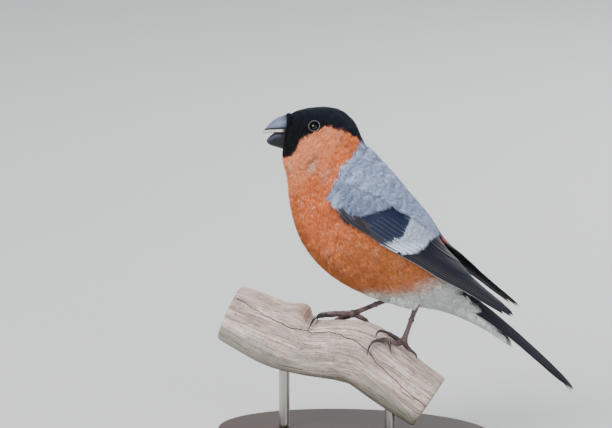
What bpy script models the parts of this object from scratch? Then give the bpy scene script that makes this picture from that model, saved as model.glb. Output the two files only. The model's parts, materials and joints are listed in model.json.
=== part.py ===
"""A male bullfinch, life size, perched on a cut length of branch that a display stand holds up.

The bird faces -X, its left side is -Y and +Z is up. The origin is the middle of the stand's
underside. Sizes and places are in millimetres, measured from the top of the base, and each mesh is
scaled to metres when it is made. One empty then lifts the whole model by the base's thickness.
"""

import math

import bmesh
import bpy
import numpy as np
from mathutils import Matrix, Vector
from mathutils.bvhtree import BVHTree

MM = 0.001
GAP = 0.3

# Stand: a flat oval base and two rods that reach up into the underside of the branch.
BASE_LENGTH, BASE_WIDTH, BASE_THICKNESS, BASE_EDGE = 104.0, 66.0, 6.0, 1.2
ROD_RADIUS = 2.0
ROD_X = {"stand_rod_front": -27.0, "stand_rod_back": 13.5}

# Branch: its axis (x, y, z) and its radius, from the cut end in front of the bird to the one behind.
BRANCH = [
    (-48.0, 1.0, 43.0, 10.6),
    (-40.0, 0.8, 39.7, 11.5),
    (-32.0, 0.6, 36.4, 12.3),
    (-26.0, 0.5, 34.3, 12.5),
    (-21.0, 0.4, 32.2, 11.6),
    (-16.5, 0.3, 30.9, 10.9),
    (-11.0, 0.2, 30.7, 11.3),
    (-4.0, 0.0, 30.5, 11.8),
    (4.0, -0.8, 29.2, 12.3),
    (12.0, -1.6, 23.7, 11.6),
    (20.0, -1.8, 18.0, 10.9),
    (28.5, -2.0, 12.6, 10.5),
]
COLLAR_X, COLLAR_LENGTH, COLLAR_RISE, COLLAR_SPREAD = -24.2, 3.2, 2.6, 0.6

# Body from the bill's base to the root of the tail. Each row is one section across the bird: the
# point on the throat or belly (x, z), the point on the crown or back (x, z) and the half width.
BODY = [
    (-27.1, 105.8, -25.1, 119.8, 4.4),
    (-27.3, 103.8, -21.6, 121.5, 6.2),
    (-26.8, 101.2, -16.6, 122.6, 8.2),
    (-25.8, 97.8, -10.4, 122.8, 9.8),
    (-25.2, 93.5, -4.7, 121.2, 11.0),
    (-24.8, 88.5, -0.1, 115.9, 12.4),
    (-23.8, 83.0, 3.5, 108.7, 14.4),
    (-22.2, 77.2, 9.0, 102.4, 16.6),
    (-18.8, 70.2, 15.1, 95.8, 18.3),
    (-12.7, 62.9, 20.7, 88.6, 19.2),
    (-4.6, 57.0, 26.1, 81.6, 18.9),
    (5.0, 52.6, 31.1, 74.8, 17.3),
    (15.0, 49.6, 35.6, 68.0, 14.8),
    (25.0, 48.8, 39.7, 61.6, 11.4),
    (34.0, 47.2, 43.6, 56.0, 7.6),
    (43.0, 43.8, 47.6, 50.4, 4.8),
    (50.0, 40.3, 52.4, 44.8, 3.4),
    (56.0, 36.4, 56.4, 39.4, 2.0),
]
CHEEK = 0.14
HEAD_TURN, TURN_X = math.radians(9.0), -9.0
TURN_FULL, TURN_NONE = 4.2, 7.2
HEAD_END, NECK_END = 4.3, 6.7
BODY_RINGS, BODY_SIDES = 40, 26

# Head: eyes, bill and mouth, placed before the head is turned.
EYE_AT, EYE_RADIUS, EYE_SUNK = (-14.75, 117.1), 2.2, 1.3
LID = [(3.1, 0.4), (2.75, 1.3), (2.3, 1.72), (1.85, 1.78)]  # radius, height over the eye's middle
UPPER_BILL = [  # x, culmen z, cutting edge z, half width
    (-25.0, 120.2, 114.0, 4.3),
    (-27.4, 119.5, 113.9, 3.9),
    (-29.8, 118.4, 113.8, 3.2),
    (-31.9, 116.7, 113.7, 2.3),
    (-33.5, 114.9, 113.4, 1.2),
    (-34.2, 113.9, 113.1, 0.35),
]
LOWER_BILL = [  # x, cutting edge z, chin z, half width
    (-25.4, 113.0, 106.8, 4.0),
    (-27.6, 113.3, 107.3, 3.7),
    (-29.6, 113.1, 107.9, 3.1),
    (-31.3, 112.1, 108.4, 2.3),
    (-32.5, 111.1, 109.0, 1.3),
    (-33.1, 110.4, 109.8, 0.35),
]
MOUTH_CORNER, MOUTH_LIPS, MOUTH_WIDTH = (-22.2, 113.8), ((-28.0, 114.1), (-28.0, 113.2)), 14.0
NOSTRIL, NOSTRIL_RADIUS = (-26.4, 3.3, 117.8), 0.55

# Wing: u runs from the bend of the wing to its tip, across from its lower edge over the back.
BEND, TIP = np.array((-7.0, 90.9)), np.array((61.0, 47.0))
WING_STEP = 10.0  # between two values of a list along the wing
LOWER_EDGE = [21.0, 11.2, 12.0, 12.5, 15.6, 17.4, 22.8, 26.4, 31.0]
SIDE_REACH = [15.0, 16.0, 16.0, 16.0, 15.5, 14.8, 13.0, 11.2, 10.0]
TOP_REACH = [9.0, 11.0, 12.0, 12.0, 12.0, 12.0, 11.4, 10.8, 10.4]
AXIS_DROP, WING_LIFT, REACH_BLEND, RAY = 6.0, 0.5, 1.2, 60.0
WING_GRID, ANGLE_GRID = 2.0, math.radians(5.0)
ARM_RINGS, ARM_SIDE, ARM_UNDER, ARM_ROUND = 11, 6, -0.1, 0.6
ARM = [  # u, lower edge, upper edge, thickness of the fleshy arm that the feathers grow from
    (-2.4, 2.6, 6.5, 0.6),
    (2.0, 0.8, 11.0, 1.6),
    (9.0, 0.2, 14.5, 2.5),
    (17.0, 0.2, 15.6, 2.6),
    (26.0, 0.6, 15.8, 2.1),
    (35.0, 1.6, 15.0, 1.4),
    (42.0, 3.0, 12.0, 0.6),
]
# Feathers of the wing in tiers from the skin outwards. A row holds where the outermost and the
# innermost feather of the tier start and end (u, across), how wide and how many they are, how far
# the lower edge of each lifts off the one below it, and the tier's height over the body.
TIERS = {
    "primary": ((24.0, 0.0), (77.0, -0.2), (26.0, 5.6), (62.0, 5.2), 2.9, 6, 0.9, 0.1),
    "secondary": ((26.0, 6.8), (60.0, 6.2), (28.0, 9.4), (56.0, 8.6), 3.1, 3, 0.9, 0.2),
    "tertial": ((27.0, 10.6), (53.0, 10.2), (29.0, 13.2), (47.5, 13.6), 4.4, 3, 0.9, 0.2),
    "primary_covert": ((12.0, 0.2), (28.5, 0.7), (12.0, 2.0), (26.5, 2.6), 3.0, 2, 0.9, 1.4),
    "greater_covert": ((19.0, 3.0), (30.0, 3.4), (22.0, 12.0), (40.5, 13.6), 4.0, 5, 0.9, 1.1),
}
PRIMARY_TIPS = [76.4, 79.8, 79.0, 73.6, 67.6, 63.4]
OUTER_LIFT = [0.6, 0.8]
VANE_THICKNESS, VANE_ROWS, VANE_ROUNDING = 0.55, 6, 5.0
VANE_SWEEP = 0.12

# Tail: a stack of twelve feathers, the middle pair on top, from a root inside the rump.
TAIL_ROOT, TAIL_TIP, TAIL_ARCH = np.array((40.0, 56.6)), np.array((82.6, 19.8)), 4.4
TAIL_HALF_WIDTH, TAIL_DROP = (4.9, 6.3), (4.8, 1.1)
TAIL_PAIRS, TAIL_VANE_WIDTH, TAIL_TILT = 6, 3.4, 0.4
TAIL_TIPS, TAIL_SIDE_STEP = [0.955, 0.97, 0.985, 1.0, 1.0, 0.98], 0.25

# Legs, as points (x, y, z). The left leg is the hind one in this stance.
LEGS = {
    "left": {"hip": (15.0, -8.6, 57.0), "heel": (24.6, -8.8, 51.2), "ankle": (19.1, -4.8, 36.3)},
    "right": {"hip": (3.0, 8.0, 58.0), "heel": (12.6, 8.0, 49.6), "ankle": (-1.6, 4.0, 43.8)},
}
THIGH_RADII = {"left": (5.2, 4.4, 3.0, 2.1), "right": (5.2, 4.2, 2.4, 1.4)}
THIGH_PAST_HEEL = {"left": 0.6, "right": -1.2}
TARSUS_RADII = (1.25, 0.95, 0.9, 0.95, 1.3)
BALL_RADIUS = 1.55
TOE_RADII = (1.2, 0.95, 0.85, 0.75)
CLAW_RADII = (0.6, 0.52, 0.36, 0.12)
# Each toe: (x of the branch's axis, degrees round it from the top towards the left, height of the
# toe's middle over the bark), and then its claw in the same terms.
TOES = {
    "left": {
        "inner": ([(9.4, 11, 1.8), (6.2, 16, 1.5)], [(5.2, 23, 1.8), (4.8, 30, 1.5), (5.0, 36, 0.5)]),
        "middle": (
            [(9.6, 22, 1.8), (7.0, 31, 1.6), (5.6, 42, 1.4)],
            [(5.1, 49, 1.6), (5.1, 58, 1.4), (5.7, 70, 0.5)],
        ),
        "outer": ([(9.6, 21, 1.8), (8.2, 27, 1.5)], [(8.0, 31, 1.8), (8.8, 36, 1.5), (10.2, 41, 0.5)]),
        "hind": ([(12.8, 11, 1.6), (14.2, 10, 1.4)], [(15.3, 10, 1.5), (16.4, 10, 1.3), (17.2, 11, 0.5)]),
    },
    "right": {
        "inner": ([(-6.4, -5, 2.4), (-11.2, -1, 2.6)], [(-13.0, 0, 2.4), (-14.2, 5, 1.8), (-13.9, 12, 0.5)]),
        "middle": (
            [(-6.8, -12, 2.0), (-12.0, -7, 1.7), (-15.6, 4, 1.5)],
            [(-17.2, 15, 1.9), (-18.4, 30, 1.6), (-18.8, 46, 0.5)],
        ),
        "outer": (
            [(-5.0, -26, 1.7), (-8.0, -38, 1.4), (-10.0, -50, 1.3)],
            [(-11.4, -58, 1.5), (-11.8, -67, 1.3), (-11.0, -75, 0.5)],
        ),
        "hind": ([(0.2, -30, 1.6), (1.0, -42, 1.4)], [(1.4, -50, 1.5), (1.6, -58, 1.3), (1.4, -64, 0.5)]),
    },
}

COLOURS = {  # base colour, roughness, metallic
    "black_feather": ((0.012, 0.013, 0.018), 0.5, 0.0),
    "orange_feather": ((0.72, 0.19, 0.07), 0.85, 0.0),
    "white_feather": ((0.68, 0.68, 0.66), 0.85, 0.0),
    "bill_horn": ((0.03, 0.032, 0.04), 0.35, 0.0),
    "eye": ((0.008, 0.006, 0.005), 0.05, 0.0),
    "leg_skin": ((0.16, 0.09, 0.08), 0.5, 0.0),
    "claw": ((0.015, 0.013, 0.014), 0.3, 0.0),
    "wood": ((0.42, 0.34, 0.28), 0.8, 0.0),
    "stand_wood": ((0.05, 0.028, 0.018), 0.4, 0.0),
    "stand_metal": ((0.55, 0.5, 0.42), 0.35, 1.0),
}


PAINTED = {  # the first letters of a part's name, and its colour
    "stand_base": "stand_wood",
    "stand_rod": "stand_metal",
    "perch": "wood",
    "claw": "claw",
    "tarsus": "leg_skin",
    "foot": "leg_skin",
    "eye": "eye",
    "bill": "bill_horn",
    "head": "black_feather",
    "wing": "black_feather",
    "tail": "black_feather",
    "neck": "orange_feather",
    "torso": "orange_feather",
    "thigh": "white_feather",
}


def through(knots, t):
    """The point at t on the smooth curve through the knots, which are one unit of t apart."""
    knots = np.asarray(knots, float)
    t = np.clip(np.asarray(t, float), 0, len(knots) - 1)
    ends = np.concatenate([[2 * knots[0] - knots[1]], knots, [2 * knots[-1] - knots[-2]]])
    i = np.minimum(t.astype(int), len(knots) - 2)
    f = (t - i)[..., None] if knots.ndim > 1 else t - i
    before, here, after, last = (ends[i + k] for k in range(4))
    bend = 2 * before - 5 * here + 4 * after - last
    twist = 3 * here - before - 3 * after + last
    return here + 0.5 * f * (after - before + f * (bend + f * twist))


def unit(vectors):
    return vectors / np.linalg.norm(vectors, axis=-1, keepdims=True)


def fade(value, full, none):
    """1 up to full, 0 from none on, and smooth between them."""
    f = np.clip((none - value) / (none - full), 0, 1)
    return f * f * (3 - 2 * f)


def turned(points, amount=1.0):
    """Points of the head, turned with it about the neck towards the left."""
    points = np.array(points, float)
    angle = HEAD_TURN * np.asarray(amount, float)
    x, y = points[..., 0] - TURN_X, points[..., 1].copy()
    points[..., 0] = TURN_X + x * np.cos(angle) - y * np.sin(angle)
    points[..., 1] = x * np.sin(angle) + y * np.cos(angle)
    return points


def body_point(s, angle):
    """The skin at section s, with the angle going from the back over the left side to the belly."""
    s, angle = np.broadcast_arrays(np.asarray(s, float), np.asarray(angle, float))
    low_x, low_z, high_x, high_z, half = np.moveaxis(through(BODY, s), -1, 0)
    up, side = np.cos(angle), np.sin(angle)
    x = (low_x + high_x + (high_x - low_x) * up) / 2
    z = (low_z + high_z + (high_z - low_z) * up) / 2
    y = -half * side * (1 - CHEEK * up * fade(s, 3.0, 6.0))
    return turned(np.stack([x, y, z], -1), fade(s, TURN_FULL, TURN_NONE))


def branch_frame(x):
    """Middle of the branch at x, its direction, its upward and leftward normals, and its radius."""
    columns = np.asarray(BRANCH)
    knots = np.interp(x, columns[:, 0], np.arange(len(BRANCH)))
    ahead = through(BRANCH, knots + 0.05)[..., :3] - through(BRANCH, knots - 0.05)[..., :3]
    row = through(BRANCH, knots)
    along = unit(ahead)
    up = unit(np.array((0.0, 0.0, 1.0)) - along * along[..., 2:3])
    return row[..., :3], along, up, np.cross(along, up), row[..., 3]


def branch_point(x, degrees, height=0.0):
    """A point over the bark: the angle goes from the top of the branch towards the bird's left."""
    x, degrees, height = np.broadcast_arrays(*(np.asarray(v, float) for v in (x, degrees, height)))
    middle, _, up, left, radius = branch_frame(x)
    angle = np.radians(degrees)
    around = np.mod(angle + np.pi, 2 * np.pi) - np.pi
    collar = np.exp(-(((x - COLLAR_X) / COLLAR_LENGTH) ** 2) - (around / COLLAR_SPREAD) ** 2)
    swell = 0.03 * np.sin(2 * angle + 0.09 * x) + 0.02 * np.sin(3 * angle - 0.05 * x)
    reach = (radius * (1 + swell) + COLLAR_RISE * collar + height)[..., None]
    return middle + reach * (np.cos(angle)[..., None] * up + np.sin(angle)[..., None] * left)


class Wing:
    """The left wing's own surface: it lies on the body, and runs on past it to the wing's tip."""

    U = np.arange(0.0, 83.0, WING_GRID)
    ANGLES = np.arange(-3, 23) * ANGLE_GRID

    def __init__(self, body):
        self.along = unit(TIP - BEND)
        self.up = np.array((-self.along[1], self.along[0]))
        reach = np.array([[self.reach(body, u, a) for a in self.ANGLES] for u in self.U])
        padded = np.pad(reach, 1, mode="edge")
        self.grid = (padded[:-2, 1:-1] + padded[2:, 1:-1] + padded[1:-1, :-2] + padded[1:-1, 2:]) / 8
        self.grid += reach / 2

    def middle(self, u):
        return BEND + np.multiply.outer(u, self.along) - AXIS_DROP * self.up

    def direction(self, angle):
        flat = np.sin(angle)[..., None] * self.up
        return np.stack([flat[..., 0], -np.cos(angle), flat[..., 1]], -1)

    def reach(self, body, u, angle):
        """Distance from the middle to the wing's underside: the body's, or the wing's own if larger."""
        side = through(SIDE_REACH, u / WING_STEP)
        top = through(TOP_REACH, u / WING_STEP)
        own = 1 / math.hypot(math.cos(angle) / side, math.sin(angle) / top)
        x, z = self.middle(u)
        out = self.direction(np.asarray(angle))
        start = np.array((x, 0.0, z)) + RAY * out
        hit = body.ray_cast(Vector(start * MM), Vector(-out), RAY * MM)[3]
        skin = RAY - hit / MM + WING_LIFT if hit is not None else 0.0
        spare = max(REACH_BLEND - abs(skin - own), 0.0) / REACH_BLEND
        return max(skin, own) + spare * spare * REACH_BLEND / 4

    def point(self, u, across, height=0.0):
        """A point over the wing's underside, across millimetres up from its lower edge."""
        u, across, height = np.broadcast_arrays(*(np.asarray(v, float) for v in (u, across, height)))
        edge = np.radians(through(LOWER_EDGE, u / WING_STEP))
        round_by = self.look_up(u, edge)
        angle = edge + across / round_by
        middle = self.middle(u)
        middle = np.stack([middle[..., 0], np.zeros(u.shape), middle[..., 1]], -1)
        return middle + (self.look_up(u, angle) + height)[..., None] * self.direction(angle)

    def look_up(self, u, angle):
        """The stored reach between the grid's points."""
        i = np.clip((u - self.U[0]) / WING_GRID, 0, len(self.U) - 1.001)
        j = np.clip((angle - self.ANGLES[0]) / ANGLE_GRID, 0, len(self.ANGLES) - 1.001)
        i0, j0 = i.astype(int), j.astype(int)
        a, b = i - i0, j - j0
        near = self.grid[i0, j0] * (1 - b) + self.grid[i0, j0 + 1] * b
        far = self.grid[i0 + 1, j0] * (1 - b) + self.grid[i0 + 1, j0 + 1] * b
        return near * (1 - a) + far * a


def new_object(name, mesh, home):
    piece = bpy.data.objects.new(name, mesh)
    home.objects.link(piece)
    return piece


def mesh_of(name, bm, scale=1.0):
    """The mesh of bm, scaled and facing out."""
    bmesh.ops.scale(bm, vec=(scale,) * 3, verts=bm.verts)
    bmesh.ops.recalc_face_normals(bm, faces=bm.faces)
    mesh = bpy.data.meshes.new(name)
    bm.to_mesh(mesh)
    bm.free()
    return mesh


def loft(name, rings, home):
    """A closed solid through rings of points, each ring with the same number of them.

    The second half of a ring is split the other way, so that the two faces of a vane match.
    """
    bm = bmesh.new()
    loops = [[bm.verts.new(point) for point in ring] for ring in rings]
    for ring, following in zip(loops, loops[1:]):
        for k in range(len(ring)):
            m = (k + 1) % len(ring)
            corners = [ring[k], ring[m], following[m], following[k]]
            bm.faces.new(corners if k < len(ring) // 2 else corners[1:] + corners[:1])
    bmesh.ops.triangulate(bm, faces=bm.faces, quad_method="FIXED")
    ends = [bm.faces.new(loops[0]), bm.faces.new(loops[-1])]
    bmesh.ops.triangulate(bm, faces=ends)
    return new_object(name, mesh_of(name, bm, MM), home)


def ball(name, centre, radius, home, segments=16):
    bm = bmesh.new()
    bmesh.ops.create_uvsphere(bm, u_segments=segments, v_segments=segments // 2 + 1, radius=radius)
    bmesh.ops.translate(bm, vec=centre, verts=bm.verts)
    return new_object(name, mesh_of(name, bm, MM), home)


def tube(name, points, radii, home, sides=10):
    """A round bar along the points, its radius going smoothly through the radii."""
    count = 2 * len(points)
    t = np.linspace(0, 1, count)
    line = through(points, t * (len(points) - 1))
    thick = through(radii, t * (len(radii) - 1))
    ahead = unit(np.gradient(line, axis=0))
    side = unit(np.cross(ahead, ahead[count // 2] + np.array((0.31, 0.83, 0.47))))
    other = np.cross(ahead, side)
    turns = np.linspace(0, 2 * np.pi, sides, endpoint=False)
    ring = np.cos(turns)[:, None, None] * side + np.sin(turns)[:, None, None] * other
    return loft(name, np.moveaxis(line + thick[:, None] * ring, 0, 1), home)


def modified(piece, kind, **settings):
    """Applies one modifier to a piece."""
    modifier = piece.modifiers.new(kind.title(), kind)
    for key, value in settings.items():
        setattr(modifier, key, value)
    graph = bpy.context.evaluated_depsgraph_get()
    mesh = bpy.data.meshes.new_from_object(piece.evaluated_get(graph))
    piece.modifiers.remove(modifier)
    old, piece.data = piece.data, mesh
    bpy.data.meshes.remove(old)
    return piece


def grown(piece, by, home):
    """A copy of a piece, larger by that much all round, to cut its neighbours with."""
    bm = bmesh.new()
    bm.from_mesh(piece.data)
    bm.normal_update()
    for vert in bm.verts:
        vert.co += vert.normal * by * MM
    return new_object(piece.name + "_grown", mesh_of(piece.name + "_grown", bm), home)


def cut(piece, *cutters):
    for cutter in cutters:
        modified(piece, "BOOLEAN", operation="DIFFERENCE", object=cutter, solver="EXACT")
    return piece


def largest(piece):
    """Keeps the largest closed surface of a piece."""
    bm = bmesh.new()
    bm.from_mesh(piece.data)
    left, bodies = set(bm.verts), []
    while left:
        found, edge = set(), [left.pop()]
        while edge:
            vert = edge.pop()
            found.add(vert)
            for link in vert.link_edges:
                other = link.other_vert(vert)
                if other in left:
                    left.remove(other)
                    edge.append(other)
        bodies.append(found)
    bodies.sort(key=len)
    bmesh.ops.delete(bm, geom=[v for b in bodies[:-1] for v in b], context="VERTS")
    bm.to_mesh(piece.data)
    bm.free()
    return piece


def joined(name, pieces, home, solver="EXACT"):
    """One closed solid from pieces that overlap, by one union on their collection."""
    group = bpy.data.collections.new(name + "_pieces")
    bpy.context.scene.collection.children.link(group)
    first, rest = pieces[0], pieces[1:]
    for piece in rest:
        for old in list(piece.users_collection):
            old.objects.unlink(piece)
        group.objects.link(piece)
    settings = {"operation": "UNION", "operand_type": "COLLECTION", "collection": group}
    modified(first, "BOOLEAN", solver=solver, **settings)
    for piece in rest:
        bpy.data.objects.remove(piece)
    bpy.data.collections.remove(group)
    for old in list(first.users_collection):
        old.objects.unlink(first)
    home.objects.link(first)
    first.name = name
    return largest(first)


def mirrored(piece, name, home):
    """The same piece on the bird's other side."""
    bm = bmesh.new()
    bm.from_mesh(piece.data)
    bmesh.ops.transform(bm, matrix=Matrix.Diagonal((1, -1, 1, 1)), verts=bm.verts)
    bmesh.ops.reverse_faces(bm, faces=bm.faces)
    return new_object(name, mesh_of(name, bm), home)


def sliced(piece, name, start, end, home):
    """The part of the body between two sections, with flat ends half a gap short of each."""
    bm = bmesh.new()
    bm.from_mesh(piece.data)
    for s, sign in ((start, 1), (end, -1)):
        if s is None:
            continue
        low, high = body_point(s, math.pi), body_point(s, 0.0)
        chord = Vector((high - low).tolist())
        ahead = Vector((chord.z, 0.0, -chord.x)).normalized() * sign
        place = Vector(low.tolist()) * MM + ahead * GAP / 2 * MM
        geometry = bm.verts[:] + bm.edges[:] + bm.faces[:]
        plane = {"plane_co": place, "plane_no": -ahead, "clear_outer": True}
        done = bmesh.ops.bisect_plane(bm, geom=geometry, **plane)
        rim = [e for e in done["geom_cut"] if isinstance(e, bmesh.types.BMEdge)]
        caps = bmesh.ops.contextual_create(bm, geom=rim)["faces"]
        bmesh.ops.triangulate(bm, faces=caps)
    return new_object(name, mesh_of(name, bm), home)


def whole_body(home):
    s = np.linspace(0, len(BODY) - 1, BODY_RINGS)[:, None]
    angle = np.linspace(0, 2 * np.pi, BODY_SIDES, endpoint=False)
    return loft("body", body_point(s, angle), home)


def surface_at(x, z):
    """Section and angle of the point on the left side of the head that has this x and z."""
    s, angle = np.meshgrid(np.linspace(0.5, 5, 91), np.radians(np.linspace(20, 160, 141)), indexing="ij")
    low_x, low_z, high_x, high_z, _ = np.moveaxis(through(BODY, s), -1, 0)
    up = np.cos(angle)
    off_x = (low_x + high_x + (high_x - low_x) * up) / 2 - x
    off_z = (low_z + high_z + (high_z - low_z) * up) / 2 - z
    k = np.argmin(off_x**2 + off_z**2)
    return s.flat[k], angle.flat[k]


def eye_places():
    """For each eye its centre, sunk in the head, and the way that it looks."""
    s, angle = surface_at(*EYE_AT)
    places = {}
    for side, sign in (("left", 1), ("right", -1)):
        here = body_point(s, sign * angle)
        along = body_point(s + 0.05, sign * angle) - here
        around = body_point(s, sign * (angle + 0.05)) - here
        out = unit(np.cross(along, around)) * sign
        out = out if out[1] * sign < 0 else -out
        places[side] = (here - out * EYE_SUNK, out)
    return places


def make_lid(centre, out, home):
    """A low mound on the head that the eye's socket is then cut through, which leaves its ring."""
    across = unit(np.cross(out, (0.0, 0.0, 1.0)))
    above = np.cross(across, out)
    turns = np.linspace(0, 2 * np.pi, 16, endpoint=False)[:, None]
    spokes = np.cos(turns) * across + np.sin(turns) * above
    return loft("lid", [centre + radius * spokes + height * out for radius, height in LID], home)


def make_head(body, parts, tools):
    """Head with a socket and a lid ring for each eye, and the open corner of the mouth."""
    head = sliced(body, "head", None, HEAD_END, parts)
    rings, sockets = [], []
    for side, (centre, out) in eye_places().items():
        eye = ball("eye_" + side, centre, EYE_RADIUS, parts, 16)
        sockets.append(grown(eye, GAP, tools))
        rings.append(make_lid(centre, out, tools))
    head = joined("head", [head] + rings, parts)
    mouth = [MOUTH_CORNER, *MOUTH_LIPS]
    ends = [turned([(x, y, z) for x, z in mouth]) for y in (-MOUTH_WIDTH / 2, MOUTH_WIDTH / 2)]
    wedge = loft("mouth", ends, tools)
    cut(head, *sockets, wedge)
    return largest(head)


def make_bill(rows, name, pull, parts):
    """One half of the bill. Pull draws the middle of its cutting face in, as inside a real bill."""
    rings = []
    for x, top, bottom, half in through(rows, np.linspace(0, len(rows) - 1, 10)):
        angle = np.linspace(0, 2 * np.pi, 12, endpoint=False)
        y = half * np.sin(angle)
        z = (top + bottom) / 2 + (top - bottom) / 2 * np.cos(angle)
        flat = np.sign(pull) * np.cos(angle) < 0
        edge = bottom if pull > 0 else top
        z = np.where(flat, edge + pull * np.cos(angle) ** 2 * half / rows[0][3], z)
        rings.append(turned(np.stack([np.full(12, x), y, z], -1)))
    return loft(name, rings, parts)


def make_leg(side, parts, tools):
    """Thigh, tarsus, foot and four claws of one leg."""
    leg = LEGS[side]
    hip, heel, ankle = (np.array(leg[k]) for k in ("hip", "heel", "ankle"))
    shank = unit(ankle - heel)
    knee = heel + unit(heel - hip) * THIGH_PAST_HEEL[side]
    bone = [hip + (knee - hip) * f for f in (0, 0.4, 0.8, 1.0)]
    thigh = tube("thigh_" + side, bone, THIGH_RADII[side], parts, 12)
    top, bottom = heel - shank * 0.2, ankle - shank * (BALL_RADIUS + GAP)
    shin = [top + (bottom - top) * f for f in (0, 0.25, 0.5, 0.8, 1.0)]
    tarsus = tube("tarsus_" + side, shin, TARSUS_RADII, parts, 10)
    pieces = [ball("foot", ankle, BALL_RADIUS, parts, 14)]
    for toe, (path, claw) in TOES[side].items():
        joints = [ankle] + [branch_point(*p) for p in path]
        pieces.append(tube(toe, joints, TOE_RADII, parts, 7))
        hook = [branch_point(*p) for p in claw]
        start = joints[-1] + unit(joints[-1] - joints[-2]) * GAP
        tube(f"claw_{side}_{toe}", [start, *hook], CLAW_RADII, parts, 7)
    foot = joined("foot_" + side, pieces, parts)
    return thigh, tarsus, foot


def make_branch(parts):
    columns = np.asarray(BRANCH)
    x = np.linspace(columns[0, 0], columns[-1, 0], 28)[:, None]
    degrees = np.linspace(0, 360, 18, endpoint=False)
    return loft("perch", branch_point(x, degrees), parts)


def make_stand(perch, parts, tools):
    """Oval base and two rods. Each rod ends a gap short of the branch's underside."""
    bm = bmesh.new()
    bmesh.ops.create_cone(bm, cap_ends=True, segments=40, radius1=1.0, radius2=1.0, depth=1.0)
    bmesh.ops.scale(bm, vec=(BASE_LENGTH / 2, BASE_WIDTH / 2, BASE_THICKNESS), verts=bm.verts)
    bmesh.ops.translate(bm, vec=(0, 0, -BASE_THICKNESS / 2), verts=bm.verts)
    base = new_object("stand_base", mesh_of("stand_base", bm, MM), parts)
    edge = {"width": BASE_EDGE * MM, "segments": 2, "angle_limit": math.radians(60)}
    modified(base, "BEVEL", limit_method="ANGLE", **edge)
    bark = grown(perch, GAP, tools)
    for name, x in ROD_X.items():
        middle = branch_frame(np.array(x))[0]
        size = {"radius1": ROD_RADIUS, "radius2": ROD_RADIUS, "depth": middle[2] - GAP}
        bm = bmesh.new()
        bmesh.ops.create_cone(bm, cap_ends=True, segments=20, **size)
        bmesh.ops.translate(bm, vec=(x, middle[1], (middle[2] + GAP) / 2), verts=bm.verts)
        rod = new_object(name, mesh_of(name, bm, MM), parts)
        cut(rod, bark)
        largest(rod)


def vane(name, place, start, tip, width, lift, base, home):
    """One feather as a thin closed solid, from its root to its rounded tip.

    Place turns (distance from the root of the wing or tail, distance across, height) into a point.
    Start and tip give the lower edge. It is raised by lift, and the hidden edge stays at the base.
    """
    t = 1 - (1 - np.linspace(0, 1, VANE_ROWS)) ** 1.5
    span = np.maximum(np.minimum(1, 0.5 + 2 * t) * (1 - t**VANE_ROUNDING) ** 0.7, 0.1)
    along, low = (start[k] + (tip[k] - start[k]) * t for k in (0, 1))
    low = low + VANE_SWEEP * width * t**8
    high = low + width * span
    raised = base + lift * span
    rings = [
        place(along, low, raised),
        place(along, high, base),
        place(along, high, base + VANE_THICKNESS),
        place(along, low, raised + VANE_THICKNESS),
    ]
    return loft(name, np.stack(rings, 1), home)


def feathered_wing(wing, parts):
    """The left wing: a fleshy arm and its feathers in tiers, fused into one solid."""
    rings = []
    crown = np.sin(np.linspace(0.12, 0.88, ARM_SIDE) * np.pi) ** ARM_ROUND
    for u, low, high, thick in through(ARM, np.linspace(0, len(ARM) - 1, ARM_RINGS)):
        across = np.linspace(low, high, ARM_SIDE)
        above = wing.point(u, across, thick * crown)
        rings.append(np.concatenate([above, wing.point(u, across[::-1], ARM_UNDER)]))
    pieces = [loft("arm", rings, parts)]
    vary = np.random.default_rng(7)
    for tier, (first, first_tip, last, last_tip, width, count, lift, base) in TIERS.items():
        for k in range(count):
            f = k / (count - 1)
            start = np.array(first) * (1 - f) + np.array(last) * f
            tip = np.array(first_tip) * (1 - f) + np.array(last_tip) * f
            rise = lift
            if tier == "primary":
                tip[0] = PRIMARY_TIPS[k]
                rise = OUTER_LIFT[k] if k < len(OUTER_LIFT) else lift
            start[0] += vary.uniform(-0.4, 0.4)
            tip[0] += vary.uniform(-0.4, 0.4)
            wide = width * vary.uniform(0.96, 1.04)
            pieces.append(vane(f"{tier}_{k}", wing.point, start, tip, wide, rise, base, parts))
    return joined("wing_left", pieces, parts)


def tail_point(along, across, height):
    """A point over the tail's roof, whose sides hang lower towards its root."""
    along, across, height = np.broadcast_arrays(*(np.asarray(v, float) for v in (along, across, height)))
    chord = TAIL_TIP - TAIL_ROOT
    t = along / np.linalg.norm(chord)
    ahead = unit(chord)
    up = np.array((-ahead[1], ahead[0]))
    half = TAIL_HALF_WIDTH[0] + (TAIL_HALF_WIDTH[1] - TAIL_HALF_WIDTH[0]) * t
    drop = TAIL_DROP[0] + (TAIL_DROP[1] - TAIL_DROP[0]) * t
    rise = TAIL_ARCH * t * (1 - t) - drop * (np.abs(across) / half) ** 1.5 + height
    place = TAIL_ROOT + along[..., None] * ahead + rise[..., None] * up
    return np.stack([place[..., 0], across, place[..., 1]], -1)


def feathered_tail(parts):
    """The tail: six pairs of feathers, each pair under the one before it and further out."""
    length = np.linalg.norm(TAIL_TIP - TAIL_ROOT)
    vary = np.random.default_rng(11)
    pieces = []
    for pair in range(TAIL_PAIRS):
        f = (pair + 1) / TAIL_PAIRS
        for side in (-1, 1):
            def place(along, across, height, side=side):
                return tail_point(along, -side * across, height)
            start = (0.4 * pair, -TAIL_HALF_WIDTH[0] * f)
            tip = (length * TAIL_TIPS[pair] + vary.uniform(-0.3, 0.3), -TAIL_HALF_WIDTH[1] * f)
            lift = TAIL_TILT * TAIL_VANE_WIDTH
            base = -lift + (TAIL_SIDE_STEP if side < 0 else 0.0)
            pieces.append(vane(f"tail_{pair}", place, start, tip, TAIL_VANE_WIDTH, lift, base, parts))
    return joined("tail", pieces, parts)


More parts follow.
